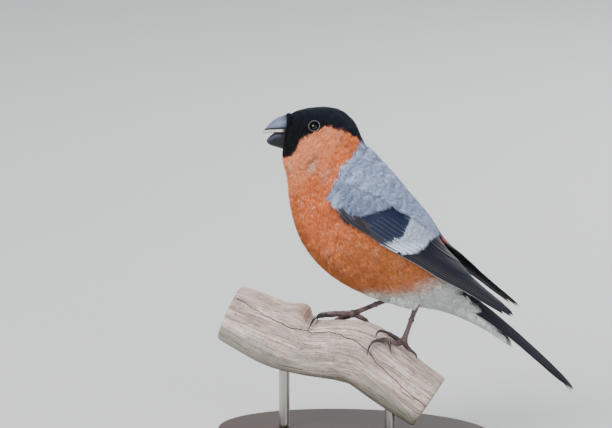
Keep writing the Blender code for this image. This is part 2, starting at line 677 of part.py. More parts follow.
def tail_sleeve(home):
    """A plain form a gap larger than the root half of the tail, to cut the rump with."""
    length = np.linalg.norm(TAIL_TIP - TAIL_ROOT)
    over = VANE_THICKNESS + TAIL_SIDE_STEP + GAP
    under = -TAIL_TILT * TAIL_VANE_WIDTH - 2 * GAP
    rings = []
    for along in np.linspace(-0.5, 0.7 * length, 9):
        half = np.interp(along, (0, length), TAIL_HALF_WIDTH) + GAP
        across = np.linspace(-half, half, 9)
        roof = tail_point(along, across, over)
        rings.append(np.concatenate([roof, tail_point(along, across[::-1], under)]))
    return loft("tail_sleeve", rings, home)


def paint(piece, colour):
    rgb, roughness, metallic = COLOURS[colour]
    material = bpy.data.materials.get(colour) or bpy.data.materials.new(colour)
    material.use_nodes = True
    shader = material.node_tree.nodes["Principled BSDF"]
    shader.inputs["Base Color"].default_value = (*rgb, 1.0)
    shader.inputs["Roughness"].default_value = roughness
    shader.inputs["Metallic"].default_value = metallic
    piece.data.materials.clear()
    piece.data.materials.append(material)
    for polygon in piece.data.polygons:
        polygon.material_index = 0
    piece.data.shade_smooth()
    piece.data.set_sharp_from_angle(angle=math.radians(40))


def colour_of(name):
    return next(colour for start, colour in PAINTED.items() if name.startswith(start))


def main():
    for old in list(bpy.data.objects):
        bpy.data.objects.remove(old)
    parts = bpy.data.collections.new("bullfinch")
    tools = bpy.data.collections.new("cutters")
    for group in (parts, tools):
        bpy.context.scene.collection.children.link(group)

    body = whole_body(tools)
    skin = BVHTree.FromObject(body, bpy.context.evaluated_depsgraph_get())
    around_body = grown(body, GAP, tools)

    head = make_head(body, parts, tools)
    around_head = grown(sliced(body, "face", None, HEAD_END, tools), GAP, tools)
    upper = cut(make_bill(UPPER_BILL, "bill_upper", 0.9, parts), around_head)
    for side in (-1, 1):
        x, y, z = NOSTRIL
        pit = ball("nostril", turned((x, y * side, z)), NOSTRIL_RADIUS, tools, 10)
        cut(upper, pit)
    largest(upper)
    largest(cut(make_bill(LOWER_BILL, "bill_lower", -0.9, parts), around_head))
    sliced(body, "neck", HEAD_END, NECK_END, parts)
    torso = sliced(body, "torso", NECK_END, None, parts)

    feathered_tail(parts)
    largest(cut(torso, tail_sleeve(tools)))

    wing = Wing(skin)
    left = feathered_wing(wing, parts)
    largest(cut(left, around_body))
    mirrored(left, "wing_right", parts)

    perch = make_branch(parts)
    make_stand(perch, parts, tools)
    bark = grown(perch, GAP, tools)
    for side in LEGS:
        thigh, tarsus, foot = make_leg(side, parts, tools)
        largest(cut(thigh, around_body, grown(tarsus, GAP, tools)))
        largest(cut(tarsus, around_body, grown(foot, GAP, tools)))
        largest(cut(foot, bark))
        for toe in TOES[side]:
            largest(cut(bpy.data.objects[f"claw_{side}_{toe}"], bark, grown(foot, GAP, tools)))

    lift = bpy.data.objects.new("base_top", None)
    parts.objects.link(lift)
    lift.location.z = BASE_THICKNESS * MM
    for piece in list(parts.objects):
        if piece.type == "MESH":
            paint(piece, colour_of(piece.name))
            piece.parent = lift
    for tool in tools.objects:
        tool.hide_render = True
        tool.display_type = "WIRE"


main()
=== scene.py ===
# %% [markdown]
# # A bullfinch on a branch, feather by feather
# A male bullfinch stands with its left side to us and grips a weathered branch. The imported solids
# give the true outline. This script loads them as a frame, and then dresses them: one skin under the
# plumage, thousands of small feathers, finer wing and tail feathers, a horn bill, wet eyes, scaled
# feet and grained wood. All sizes below are in millimetres over the top of the stand's base.

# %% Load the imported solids
import json
import math

import bmesh
import bpy
import numpy as np
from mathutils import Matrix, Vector
from mathutils.bvhtree import BVHTree

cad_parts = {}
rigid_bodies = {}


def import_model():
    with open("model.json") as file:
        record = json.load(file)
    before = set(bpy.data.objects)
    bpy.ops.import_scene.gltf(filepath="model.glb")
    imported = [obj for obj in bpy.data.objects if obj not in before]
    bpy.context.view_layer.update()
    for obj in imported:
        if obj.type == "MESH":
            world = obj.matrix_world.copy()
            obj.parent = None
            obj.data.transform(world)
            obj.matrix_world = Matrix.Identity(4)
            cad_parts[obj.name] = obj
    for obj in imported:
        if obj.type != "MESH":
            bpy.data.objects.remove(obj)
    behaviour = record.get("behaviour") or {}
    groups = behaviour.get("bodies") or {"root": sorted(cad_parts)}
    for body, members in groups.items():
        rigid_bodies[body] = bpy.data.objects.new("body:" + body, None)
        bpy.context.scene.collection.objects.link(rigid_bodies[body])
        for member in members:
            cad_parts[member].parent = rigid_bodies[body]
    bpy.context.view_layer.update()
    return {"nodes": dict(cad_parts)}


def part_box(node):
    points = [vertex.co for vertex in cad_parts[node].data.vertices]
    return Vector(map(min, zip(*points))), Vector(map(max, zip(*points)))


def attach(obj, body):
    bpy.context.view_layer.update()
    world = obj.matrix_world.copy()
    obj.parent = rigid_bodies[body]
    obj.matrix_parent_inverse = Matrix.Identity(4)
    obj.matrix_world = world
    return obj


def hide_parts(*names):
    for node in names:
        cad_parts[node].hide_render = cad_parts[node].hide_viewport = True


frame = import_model()
MM = 0.001
TAU = 2 * np.pi
BASE_THICKNESS = 6.0
SEED = 20
print("solids loaded:", len(frame["nodes"]), "nodes")

# %% [markdown]
# ## The camera
# The photo was taken from far away with a long lens, so the picture is nearly flat. The camera looks
# from the bird's left, a little from behind and a little from above. A camera at nearly two metres
# with a 300 mm lens gives the same flatness. Its aim is worked out from one pixel of the photo whose
# place on the model is known.

# %% Camera
TURN, RISE = math.radians(10.0), math.radians(12.0)
MM_A_PIXEL = 0.375
ORIGIN_PIXEL = (355.0, 430.0)
MIDDLE_PIXEL = (306.0, 214.0)
CAMERA_FAR, LENS, SENSOR, CLIP_END = 1.9125, 300.0, 36.0, 20.0

right = Vector((math.cos(TURN), math.sin(TURN), 0.0))
above = Vector((-math.sin(TURN) * math.sin(RISE), math.cos(TURN) * math.sin(RISE), math.cos(RISE)))
towards = right.cross(above)
aim = Vector((0.0, 0.0, BASE_THICKNESS * MM))
aim += right * (MIDDLE_PIXEL[0] - ORIGIN_PIXEL[0]) * MM_A_PIXEL * MM
aim += above * (ORIGIN_PIXEL[1] - MIDDLE_PIXEL[1]) * MM_A_PIXEL * MM
lens = bpy.data.cameras.new("camera")
lens.lens, lens.sensor_width, lens.clip_end = LENS, SENSOR, CLIP_END
camera = bpy.data.objects.new("camera", lens)
bpy.context.scene.collection.objects.link(camera)
camera.location = aim + towards * CAMERA_FAR
camera.rotation_euler = (-towards).to_track_quat("-Z", "Y").to_euler()
bpy.context.scene.camera = camera
print("camera at", [round(v, 3) for v in camera.location])

# %% [markdown]
# ## Helpers for materials
# A material is a small network of nodes. Written out node by node it is long and hard to read, so a
# Wire stands for one socket and knows how to add, multiply and so on. An expression such as
# 1 - mask * 0.5 then builds its own Math nodes.


# %% Shader wires
class Wire:
    """One output socket of a material, with arithmetic that adds Math nodes."""

    def __init__(self, recipe, socket):
        self.recipe, self.socket = recipe, socket

    def math(self, operation, *others):
        values = dict(enumerate((self, *others)))
        return self.recipe.node("ShaderNodeMath", {"operation": operation}, values)

    def __add__(self, other):
        return self.math("ADD", other)

    def __mul__(self, other):
        return self.math("MULTIPLY", other)

    def __sub__(self, other):
        return self.math("SUBTRACT", other)

    def __rsub__(self, other):
        return self.recipe.node("ShaderNodeMath", {"operation": "SUBTRACT"}, {0: other, 1: self})

    __radd__, __rmul__ = __add__, __mul__


class Recipe:
    """A new material whose nodes are added one call at a time."""

    def __init__(self, name):
        self.material = bpy.data.materials.new(name)
        self.material.use_nodes = True
        self.tree = self.material.node_tree
        self.shader = self.tree.nodes["Principled BSDF"]

    def put(self, node, values):
        for key, value in values.items():
            if isinstance(value, Wire):
                self.tree.links.new(value.socket, node.inputs[key])
            else:
                node.inputs[key].default_value = value

    def node(self, kind, settings=None, values=None, output=0):
        made = self.tree.nodes.new(kind)
        for key, value in (settings or {}).items():
            setattr(made, key, value)
        self.put(made, values or {})
        return Wire(self, made.outputs[output])

    def mix(self, factor, first, second):
        """Two colours mixed by a factor. Sockets 6 and 7 of a Mix node hold its colours."""
        first, second = (v if isinstance(v, Wire) else (*v, 1.0) for v in (first, second))
        settings = {"data_type": "RGBA", "clamp_factor": True}
        return self.node("ShaderNodeMix", settings, {0: factor, 6: first, 7: second}, output=2)

    def tinted(self, colour, amount):
        """A colour made lighter or darker by a number."""
        settings = {"operation": "SCALE"}
        return self.node("ShaderNodeVectorMath", settings, {0: colour, "Scale": amount})

    def noise(self, vector, scale, detail=3.0, roughness=0.55):
        values = {"Vector": vector, "Scale": scale, "Detail": detail, "Roughness": roughness}
        return self.node("ShaderNodeTexNoise", None, values)

    def stretched(self, vector, scale):
        """The coordinates scaled along each axis, to draw a pattern out."""
        return self.node("ShaderNodeMapping", None, {"Vector": vector, "Scale": scale})

    def place(self):
        return self.node("ShaderNodeTexCoord", None, None, output="Object")

    def uv(self, name):
        return self.node("ShaderNodeUVMap", {"uv_map": name})

    def attribute(self, name, output="Fac"):
        return self.node("ShaderNodeAttribute", {"attribute_name": name}, None, output)

    def smooth(self, value, low, high):
        """0 below low, 1 above high and smooth between them."""
        settings = {"interpolation_type": "SMOOTHSTEP"}
        values = {"Value": value, "From Min": low, "From Max": high}
        return self.node("ShaderNodeMapRange", settings, values)

    def bump(self, height, strength, distance):
        values = {"Height": height, "Strength": strength, "Distance": distance}
        return self.node("ShaderNodeBump", None, values)

    def finish(self, **values):
        self.put(self.shader, {key.replace("_", " "): value for key, value in values.items()})
        return self.material


print("shader helpers ready")

# %% [markdown]
# ## Helpers for shapes
# The branch, the body, the wing and the tail are smooth surfaces. Each is a function that turns two
# numbers into a point, so that skin, feathers and colours can all be placed on it.


# %% Smooth curves
OFF_AXIS = np.array((0.31, 0.83, 0.47))


def through(knots, t):
    """The point at t on the smooth curve through the knots, which are one unit of t apart."""
    knots = np.asarray(knots, float)
    t = np.clip(np.asarray(t, float), 0, len(knots) - 1)
    ends = np.concatenate([[2 * knots[0] - knots[1]], knots, [2 * knots[-1] - knots[-2]]])
    i = np.minimum(t.astype(int), len(knots) - 2)
    f = (t - i)[..., None] if knots.ndim > 1 else t - i
    before, here, after, last = (ends[i + k] for k in range(4))
    bend = 2 * before - 5 * here + 4 * after - last
    twist = 3 * here - before - 3 * after + last
    return here + 0.5 * f * (after - before + f * (bend + f * twist))


def unit(vectors):
    return vectors / np.maximum(np.linalg.norm(vectors, axis=-1, keepdims=True), 1e-9)


def fade(value, full, none):
    """1 up to full, 0 from none on, and smooth between them."""
    f = np.clip((none - value) / (none - full), 0, 1)
    return f * f * (3 - 2 * f)


def hill(value, middle, width):
    """1 at the middle, and softly less to both sides of it."""
    return np.exp(-(((value - middle) / width) ** 2))


def whole_turn(count):
    """That many angles, evenly spaced round a circle."""
    return np.linspace(0, TAU, count, endpoint=False)


def around_limit(value, limit, soft):
    """1 below a limit and 0 above it, with a soft step from one to the other."""
    return fade(value, limit - soft, limit + soft)


def rgb(*values):
    return np.array(values)


def blend(first, second, share):
    """A colour that goes from the first to the second with the share."""
    return first + (second - first) * share[..., None]


print("half-way along a curve:", through([0.0, 1.0, 4.0], 1.5))

# %% [markdown]
# Blender wants a mesh as flat lists. Handing over whole numpy arrays with foreach_set is a hundred
# times quicker than adding vertices one by one, which matters with a million triangles. Extra
# numbers, such as a colour at each point, go in as attributes that a material can read by name.


# %% Meshes from arrays
def made(name, points, faces, material, attributes=None, uvs=None):
    """A mesh object from arrays in millimetres. Faces are rows of three or four numbers."""
    points = np.asarray(points, float).reshape(-1, 3)
    mesh = bpy.data.meshes.new(name)
    shape = [np.asarray(f) for f in (faces if isinstance(faces, list) else [faces])]
    loops = np.concatenate([f.ravel() for f in shape]).astype(np.int32)
    sizes = np.concatenate([np.full(len(f), f.shape[1]) for f in shape]).astype(np.int32)
    mesh.vertices.add(len(points))
    mesh.vertices.foreach_set("co", ((points + (0, 0, BASE_THICKNESS)) * MM).ravel().astype(np.float32))
    mesh.loops.add(len(loops))
    mesh.loops.foreach_set("vertex_index", loops)
    mesh.polygons.add(len(sizes))
    mesh.polygons.foreach_set("loop_start", (np.cumsum(sizes) - sizes).astype(np.int32))
    mesh.polygons.foreach_set("use_smooth", np.full(len(sizes), True))
    for key, values in (attributes or {}).items():
        values = np.asarray(values, float)
        kind, part = ("FLOAT_COLOR", "color") if values.ndim > 1 else ("FLOAT", "value")
        field = mesh.attributes.new(key, kind, "POINT")
        if values.ndim > 1:
            values = np.concatenate([values, np.ones((len(values), 1))], 1)
        field.data.foreach_set(part, values.ravel().astype(np.float32))
    for key, values in (uvs or {}).items():
        layer = mesh.uv_layers.new(name=key)
        layer.data.foreach_set("uv", np.asarray(values, float)[loops].ravel().astype(np.float32))
    mesh.update(calc_edges=True)
    mesh.validate()
    piece = bpy.data.objects.new(name, mesh)
    bpy.context.scene.collection.objects.link(piece)
    piece.data.materials.append(material)
    return piece


def lattice(rows, columns):
    """The square faces of rows by columns of points, whose last column joins the first."""
    i, j = np.meshgrid(np.arange(rows - 1), np.arange(columns), indexing="ij")
    k = (j + 1) % columns
    here, ahead = i * columns, (i + 1) * columns
    return np.stack([here + j, here + k, ahead + k, ahead + j], -1).reshape(-1, 4)


def lidded(rings):
    """Points and faces of a closed tube through rings, with a fan of triangles on each end."""
    rings = np.asarray(rings, float)
    rows, columns = rings.shape[:2]
    points = np.concatenate([rings.reshape(-1, 3), rings[0].mean(0)[None], rings[-1].mean(0)[None]])
    k, end = np.arange(columns), (rows - 1) * columns
    after = np.roll(k, -1)
    first = np.stack([after, k, np.full(columns, rows * columns)], -1)
    last = np.stack([k + end, after + end, np.full(columns, rows * columns + 1)], -1)
    return points, [lattice(rows, columns), np.concatenate([first, last])]


def tube_rings(points, radii, rows, sides):
    """Rings round a smooth curve through the points, with the radius going through the radii."""
    t = np.linspace(0, 1, rows)
    line = through(points, t * (len(points) - 1))
    thick = through(radii, t * (len(radii) - 1))
    ahead = unit(np.gradient(line, axis=0))
    side = unit(np.cross(ahead, ahead[rows // 2] + OFF_AXIS))
    other = np.cross(ahead, side)
    turns = whole_turn(sides)[None, :, None]
    spokes = np.cos(turns) * side[:, None] + np.sin(turns) * other[:, None]
    return line[:, None] + thick[:, None, None] * spokes


def outward(piece):
    """Faces of a closed piece are turned to point outwards."""
    bm = bmesh.new()
    bm.from_mesh(piece.data)
    bmesh.ops.recalc_face_normals(bm, faces=bm.faces)
    bm.to_mesh(piece.data)
    bm.free()
    return piece


def joined_arrays(parts):
    """Several (points, faces) sets as one. Faces with three and four corners stay apart."""
    points, threes, fours, start = [], [], [], 0
    for p, faces in parts:
        p = np.asarray(p, float).reshape(-1, 3)
        points.append(p)
        for f in faces if isinstance(faces, list) else [faces]:
            (threes if f.shape[1] == 3 else fours).append(f + start)
        start += len(p)
    return np.concatenate(points), [np.concatenate(f) for f in (threes, fours) if f]


def closed_piece(name, rings, material, attributes=None):
    """A closed form through rings as an object, with its faces outwards."""
    points, faces = lidded(rings)
    return outward(made(name, points, faces, material, attributes))


def rides(piece, slot, *nodes):
    """The piece moves with the model and stands for these nodes, which are hidden. The slot is not used."""
    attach(piece, "root")
    if nodes:
        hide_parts(*nodes)
    print(piece.name, "triangles:", sum(len(p.vertices) - 2 for p in piece.data.polygons))
    return piece


print("a tube of 3 rings of 8 points has", sum(len(f) for f in lidded(np.zeros((3, 8, 3)))[1]), "faces")

# %% [markdown]
# ## The surface of the body
# Sections across the bird run from the bill to the root of the tail. A point on the skin is given by
# its section s and by an angle that goes from the back over the left side to the belly. The head is
# turned a little towards us, which the turned function does about the neck.

# %% Body surface
BODY = [  # lowest x and z, highest x and z, half width
    (-27.1, 105.8, -25.1, 119.8, 4.4),
    (-27.3, 103.8, -21.6, 121.5, 6.2),
    (-26.8, 101.2, -16.6, 122.6, 8.2),
    (-25.8, 97.8, -10.4, 122.8, 9.8),
    (-25.2, 93.5, -4.7, 121.2, 11.0),
    (-24.8, 88.5, -0.1, 115.9, 12.4),
    (-23.8, 83.0, 3.5, 108.7, 14.4),
    (-22.2, 77.2, 9.0, 102.4, 16.6),
    (-18.8, 70.2, 15.1, 95.8, 18.3),
    (-12.7, 62.9, 20.7, 88.6, 19.2),
    (-4.6, 57.0, 26.1, 81.6, 18.9),
    (5.0, 52.6, 31.1, 74.8, 17.3),
    (15.0, 49.6, 35.6, 68.0, 14.8),
    (25.0, 48.8, 39.7, 61.6, 11.4),
    (34.0, 47.2, 43.6, 56.0, 7.6),
    (43.0, 43.8, 47.6, 50.4, 4.8),
    (50.0, 40.3, 52.4, 44.8, 3.4),
    (56.0, 36.4, 56.4, 39.4, 2.0),
]
CHEEK, CHEEK_FADE = 0.14, (3.0, 6.0)
HEAD_TURN, TURN_X = math.radians(9.0), -9.0
TURN_FULL, TURN_NONE = 4.2, 7.2


def turned(points, amount=1.0):
    """Points of the head, turned with it about the neck towards the left."""
    points = np.array(points, float)
    angle = HEAD_TURN * np.asarray(amount, float)
    x, y = points[..., 0] - TURN_X, points[..., 1].copy()
    points[..., 0] = TURN_X + x * np.cos(angle) - y * np.sin(angle)
    points[..., 1] = x * np.sin(angle) + y * np.cos(angle)
    return points


def body_point(s, angle):
    s, angle = np.broadcast_arrays(np.asarray(s, float), np.asarray(angle, float))
    low_x, low_z, high_x, high_z, half = np.moveaxis(through(BODY, s), -1, 0)
    up, side = np.cos(angle), np.sin(angle)
    x = (low_x + high_x + (high_x - low_x) * up) / 2
    z = (low_z + high_z + (high_z - low_z) * up) / 2
    y = -half * side * (1 - CHEEK * up * fade(s, *CHEEK_FADE))
    return turned(np.stack([x, y, z], -1), fade(s, TURN_FULL, TURN_NONE))


print("body length:", round(float(np.linalg.norm(body_point(17.0, 0.0) - body_point(0.0, 0.0))), 1), "mm")

# %% [markdown]
# ## The plumage's colours
# The markings are what make a bullfinch. A black cap, face and bib, orange cheeks and breast, a
# blue-grey mantle and a white vent meet along clear edges. Each edge is one list of numbers over the
# section or the angle, so both sides of the bird match. Skin and feathers ask the same function.

# %% Markings
BLACK, BLUE_BLACK = rgb(0.0065, 0.007, 0.011), rgb(0.011, 0.015, 0.030)
CHEEK_ORANGE, BREAST_ORANGE = rgb(1.0, 0.365, 0.165), rgb(0.95, 0.26, 0.09)
SHADED_BELLY_ORANGE, PALE_ORANGE = rgb(0.50, 0.165, 0.05), rgb(0.98, 0.68, 0.55)
MANTLE_GREY, NAPE_GREY = rgb(0.41, 0.49, 0.69), rgb(0.53, 0.60, 0.77)
VENT_WHITE, VENT_SHADE = rgb(0.76, 0.78, 0.75), rgb(0.55, 0.59, 0.57)

# Each list goes from an angle to a section, or from a section to an angle. 0 degrees is the back.
BLACK_END = [(0, 6.0), (14, 5.65), (27, 5.25), (34, 4.95), (38, 4.62), (47, 4.2), (51, 3.62), (55, 3.43),
             (62, 3.15), (69, 2.88), (78, 2.65), (87, 2.33), (93, 2.4), (105, 2.5), (117, 2.35),
             (129, 1.98), (157, 0.93), (180, 0.6)]
GREY_LIMIT = [(5.6, 0), (5.65, 14), (5.85, 26), (5.98, 45), (6.02, 60), (6.23, 70), (6.53, 78),
              (6.9, 80), (7.4, 70), (8.0, 62), (10.0, 52), (12.0, 46), (17.0, 46)]
WHITE_START = [(0, 12.6), (50, 12.4), (70, 12.2), (90, 12.1), (112, 11.7), (123, 11.3), (133, 11.0),
               (180, 10.7)]
PALE_SPOTS = [  # section, angle, their widths, strength
    (4.55, 101, 0.20, 6, 1.0),
    (2.75, 141, 0.35, 4, 0.7),
    (3.5, 139, 0.35, 3, 0.6),
    (5.6, 84, 0.5, 8, 0.3),
]
TAIL_COVERTS_FROM = [(0, 14.3), (30, 14.1), (45, 13.7), (55, 13.4)]
TAIL_COVERTS_DOWN = [(13.4, 50), (14.1, 53), (14.6, 53), (15.3, 49), (16.0, 47), (17.0, 47)]
HOLLOW_SHADOW = [(80, 4.34), (85, 4.30), (96, 4.22), (104, 4.18), (117, 4.12)]
HOLLOW_SHADOW_ANGLE, HOLLOW_SHADOW_WIDE, HOLLOW_SHADOW_LONG, HOLLOW_SHADOW_DARK = 100, 16, 0.16, 0.55
CHEEK_TO_BREAST, BREAST_TO_SHADED_BELLY, BELLY_SHADE_SHARE = (4.2, 5.4), (7.0, 10.5), 0.8
KEEL_SHADE, KEEL_SHADE_SECTIONS, KEEL_SHADE_SHARE = (-165, -110), (5.0, 8.0), 0.6
VENT_UNDERSIDE, VENT_SHARE, WHITE_BEFORE, WHITE_AFTER = (-110, -60), 0.5, 0.6, 0.9
GREY_FROM, GREY_SOFT, NAPE_TO_MANTLE = 5.5, 2.5, (6.0, 8.0)
TAIL_SOFT, TAIL_EDGE_SOFT, BLACK_SOFT, CAP_PAINTED_SHEEN = 0.15, 2, 0.06, (20, 70)


def line(table, value):
    return np.interp(value, [row[0] for row in table], [row[1] for row in table])


def marking(s, angle):
    """Colour of the plumage at a section and an angle, the same on both sides, with painted shade under the
    belly, keel and vent, a painted shadow in the hollow below the cheek and a painted sheen on the cap.
    """
    degrees = np.degrees(np.abs((angle + np.pi) % TAU - np.pi))
    tint = blend(CHEEK_ORANGE, BREAST_ORANGE, 1 - fade(s, *CHEEK_TO_BREAST))
    # Towards the belly and on the keel the orange darkens to brown: painted shade on the underside.
    tint = blend(tint, SHADED_BELLY_ORANGE, (1 - fade(s, *BREAST_TO_SHADED_BELLY)) * BELLY_SHADE_SHARE)
    keel_shade = fade(-degrees, *KEEL_SHADE) * (1 - fade(s, *KEEL_SHADE_SECTIONS)) * KEEL_SHADE_SHARE
    tint = blend(tint, SHADED_BELLY_ORANGE, keel_shade)
    for at_s, at_angle, wide_s, wide_angle, amount in PALE_SPOTS:
        spot = hill(s, at_s, wide_s) * hill(degrees, at_angle, wide_angle)
        tint = blend(tint, PALE_ORANGE, amount * spot)
    # A painted shadow darkens the hollow where the cheek meets the breast.
    painted_shadow = hill(s, line(HOLLOW_SHADOW, degrees), HOLLOW_SHADOW_LONG) * hill(degrees, HOLLOW_SHADOW_ANGLE, HOLLOW_SHADOW_WIDE)
    tint = tint * (1 - HOLLOW_SHADOW_DARK * painted_shadow[..., None])
    start = line(WHITE_START, degrees)
    white = 1 - fade(s, start - WHITE_BEFORE, start + WHITE_AFTER)
    tint = blend(tint, blend(VENT_WHITE, VENT_SHADE, VENT_SHARE * fade(-degrees, *VENT_UNDERSIDE)), white)
    grey = around_limit(degrees, line(GREY_LIMIT, s), GREY_SOFT) * (s > GREY_FROM) * (1 - white)
    tint = blend(tint, blend(NAPE_GREY, MANTLE_GREY, 1 - fade(s, *NAPE_TO_MANTLE)), grey)
    tail = 1 - around_limit(s, line(TAIL_COVERTS_FROM, degrees), TAIL_SOFT)
    tint = blend(tint, BLUE_BLACK, tail * around_limit(degrees, line(TAIL_COVERTS_DOWN, s), TAIL_EDGE_SOFT))
    black = around_limit(s, line(BLACK_END, degrees), BLACK_SOFT)
    # On top of the cap the black turns blue-black: a painted sheen where the light from above falls.
    return blend(tint, blend(BLACK, BLUE_BLACK, fade(degrees, *CAP_PAINTED_SHEEN)), black)


print("colour of the cheek:", np.round(marking(np.array(3.6), np.radians(75.0)), 2))

# %% [markdown]
# ## The wing's surface
# A folded wing lies on the body and runs on past it. Its own surface is found by shooting rays out
# from a line inside the bird: where the body is further out, the wing lies on the body, and beyond
# it the wing keeps its own curve. u runs from the bend of the wing to its tip, and across runs from
# its lower edge up over the back.

# %% Wing surface
BEND, TIP = np.array((-7.0, 90.9)), np.array((61.0, 47.0))
WING_STEP = 10.0
LOWER_EDGE = [21.0, 11.2, 12.0, 12.5, 15.6, 17.4, 22.8, 26.4, 31.0]
SIDE_REACH = [15.0, 16.0, 16.0, 16.0, 15.5, 14.8, 13.0, 11.2, 10.0]
TOP_REACH = [9.0, 11.0, 12.0, 12.0, 12.0, 12.0, 11.4, 10.8, 10.4]
AXIS_DROP, WING_LIFT, REACH_BLEND, RAY = 6.0, 0.5, 1.2, 60.0
WING_GRID, ANGLE_GRID = 2.0, math.radians(5.0)
WING_LENGTH, FIRST_ANGLE, LAST_ANGLE = 83.0, -3, 23
BODY_ROWS, BODY_SIDES = 40, 26


class Wing:
    """The left wing's own surface: it lies on the body, and runs on past it to the wing's tip."""

    U = np.arange(0.0, WING_LENGTH, WING_GRID)
    ANGLES = np.arange(FIRST_ANGLE, LAST_ANGLE) * ANGLE_GRID

    def __init__(self):
        s = np.linspace(0, len(BODY) - 1, BODY_ROWS)[:, None]
        points, faces = lidded(body_point(s, whole_turn(BODY_SIDES)))
        corners = [tuple(f) for group in faces for f in group]
        self.body = BVHTree.FromPolygons([Vector(p) for p in points], corners)
        self.along = unit(TIP - BEND)
        self.up = np.array((-self.along[1], self.along[0]))
        reach = np.array([[self.reach(u, a) for a in self.ANGLES] for u in self.U])
        padded = np.pad(reach, 1, mode="edge")
        self.grid = (padded[:-2, 1:-1] + padded[2:, 1:-1] + padded[1:-1, :-2] + padded[1:-1, 2:]) / 8
        self.grid += reach / 2

    def middle(self, u):
        return BEND + np.multiply.outer(u, self.along) - AXIS_DROP * self.up

    def direction(self, angle):
        flat = np.sin(angle)[..., None] * self.up
        return np.stack([flat[..., 0], -np.cos(angle), flat[..., 1]], -1)

    def reach(self, u, angle):
        side, top = through(SIDE_REACH, u / WING_STEP), through(TOP_REACH, u / WING_STEP)
        own = 1 / math.hypot(math.cos(angle) / side, math.sin(angle) / top)
        x, z = self.middle(u)
        out = self.direction(np.asarray(angle))
        hit = self.body.ray_cast(Vector(np.array((x, 0.0, z)) + RAY * out), Vector(-out), RAY)[3]
        skin = RAY - hit + WING_LIFT if hit is not None else 0.0
        spare = max(REACH_BLEND - abs(skin - own), 0.0) / REACH_BLEND
        return max(skin, own) + spare * spare * REACH_BLEND / 4

    def look_up(self, u, angle):
        i = np.clip((u - self.U[0]) / WING_GRID, 0, len(self.U) - 1.001)
        j = np.clip((angle - self.ANGLES[0]) / ANGLE_GRID, 0, len(self.ANGLES) - 1.001)
        i0, j0 = i.astype(int), j.astype(int)
        a, b = i - i0, j - j0
        near = self.grid[i0, j0] * (1 - b) + self.grid[i0, j0 + 1] * b
        far = self.grid[i0 + 1, j0] * (1 - b) + self.grid[i0 + 1, j0 + 1] * b
        return near * (1 - a) + far * a

    def edge(self, u):
        return np.radians(through(LOWER_EDGE, u / WING_STEP))

    def angle(self, u, across):
        edge = self.edge(u)
        return edge + across / self.look_up(u, edge)

    def across(self, u, angle):
        edge = self.edge(u)
        return (angle - edge) * self.look_up(u, edge)

    def point(self, u, across, height=0.0):
        u, across, height = np.broadcast_arrays(*(np.asarray(v, float) for v in (u, across, height)))
        angle = self.angle(u, across)
        middle = self.middle(u)
        middle = np.stack([middle[..., 0], np.zeros(u.shape), middle[..., 1]], -1)
        return middle + (self.look_up(u, angle) + height)[..., None] * self.direction(angle)


wing = Wing()
print("wing tip at", np.round(wing.point(79.0, 0.5), 1))

# %% [markdown]
# ## Surfaces that carry feathers
# To plant a feather, the script needs more than a point: it needs the direction that the coat lies
# in, the direction across it and the way out. A Surface takes them from tiny steps of its function,
# so the same code feathers the body, the wing, the thighs and the bill's root.


# %% Surfaces
class Surface:
    """A surface from a function of two numbers, with its directions and its outward side."""

    def __init__(self, point, sign, step=(0.02, 0.02)):
        self.point, self.sign, self.step = point, sign, step

    def frame(self, u, v):
        here = self.point(u, v)
        along = (self.point(u + self.step[0], v) - here) / self.step[0]
        around = (self.point(u, v + self.step[1]) - here) / self.step[1]
        return here, along, around, unit(np.cross(along, around)) * self.sign

    def moves(self, u, v, turn, length):
        """How far u and v go for a way of that length, turned from the direction of u."""
        _, along, around, normal = self.frame(u, v)
        first = unit(along)
        second = np.cross(normal, first)
        a, b = np.sum(along * first, -1), np.sum(around * first, -1)
        d = np.sum(around * second, -1)
        ahead, aside = length * np.cos(turn), length * np.sin(turn)
        dv = aside / np.where(np.abs(d) < 1e-6, 1e-6, d)
        return (ahead - b * dv) / a, dv


SPARE_DRAWS = 6


def scattered(surface, low, high, count, dice, keep=None):
    """Evenly scattered (u, v) on a surface between two corners, by the area round each."""
    u = dice.uniform(low[0], high[0], count * SPARE_DRAWS)
    v = dice.uniform(low[1], high[1], count * SPARE_DRAWS)
    _, along, around, _ = surface.frame(u, v)
    area = np.linalg.norm(np.cross(along, around), axis=-1)
    chosen = dice.uniform(0, 1, len(u)) < area / area.max()
    u, v = u[chosen], v[chosen]
    if keep is not None:
        inside = keep(u, v)
        u, v = u[inside], v[inside]
    return u[:count], v[:count]


outside_of_wing = Surface(wing.point, 1.0).frame(np.array([20.0]), np.array([8.0]))[3][0]
print("the wing faces", np.round(outside_of_wing, 2))

# %% [markdown]
# ## Soft variation
# No two feathers of a bird have quite the same tone or lie, yet neighbours are alike. Purely random
# numbers look like gravel. A Weave is a coarse grid of random numbers with smooth steps between
# them, stretched along the body where it has more columns than rows.


# %% Soft variation
class Weave:
    """A smooth random value over (0..1, 0..1), drawn out along the first number."""

    def __init__(self, seed, rows, columns):
        self.grid = np.random.default_rng(seed).uniform(-1, 1, (rows, columns))

    def __call__(self, u, v):
        rows, columns = self.grid.shape
        x, y = (u % 1) * rows, (v % 1) * columns
        i, j = np.floor(x).astype(int), np.floor(y).astype(int)
        a, b = x - i, y - j
        a, b = a * a * (3 - 2 * a), b * b * (3 - 2 * b)
        corner = [self.grid[(i + p) % rows, (j + q) % columns] for p, q in ((0, 0), (0, 1), (1, 0), (1, 1))]
        return (corner[0] * (1 - b) + corner[1] * b) * (1 - a) + (corner[2] * (1 - b) + corner[3] * b) * a


streaks, clumps, flow = Weave(5, 15, 120), Weave(6, 26, 34), Weave(7, 20, 30)
print("a streak's value:", round(float(streaks(np.array(0.3), np.array(0.4))), 2))

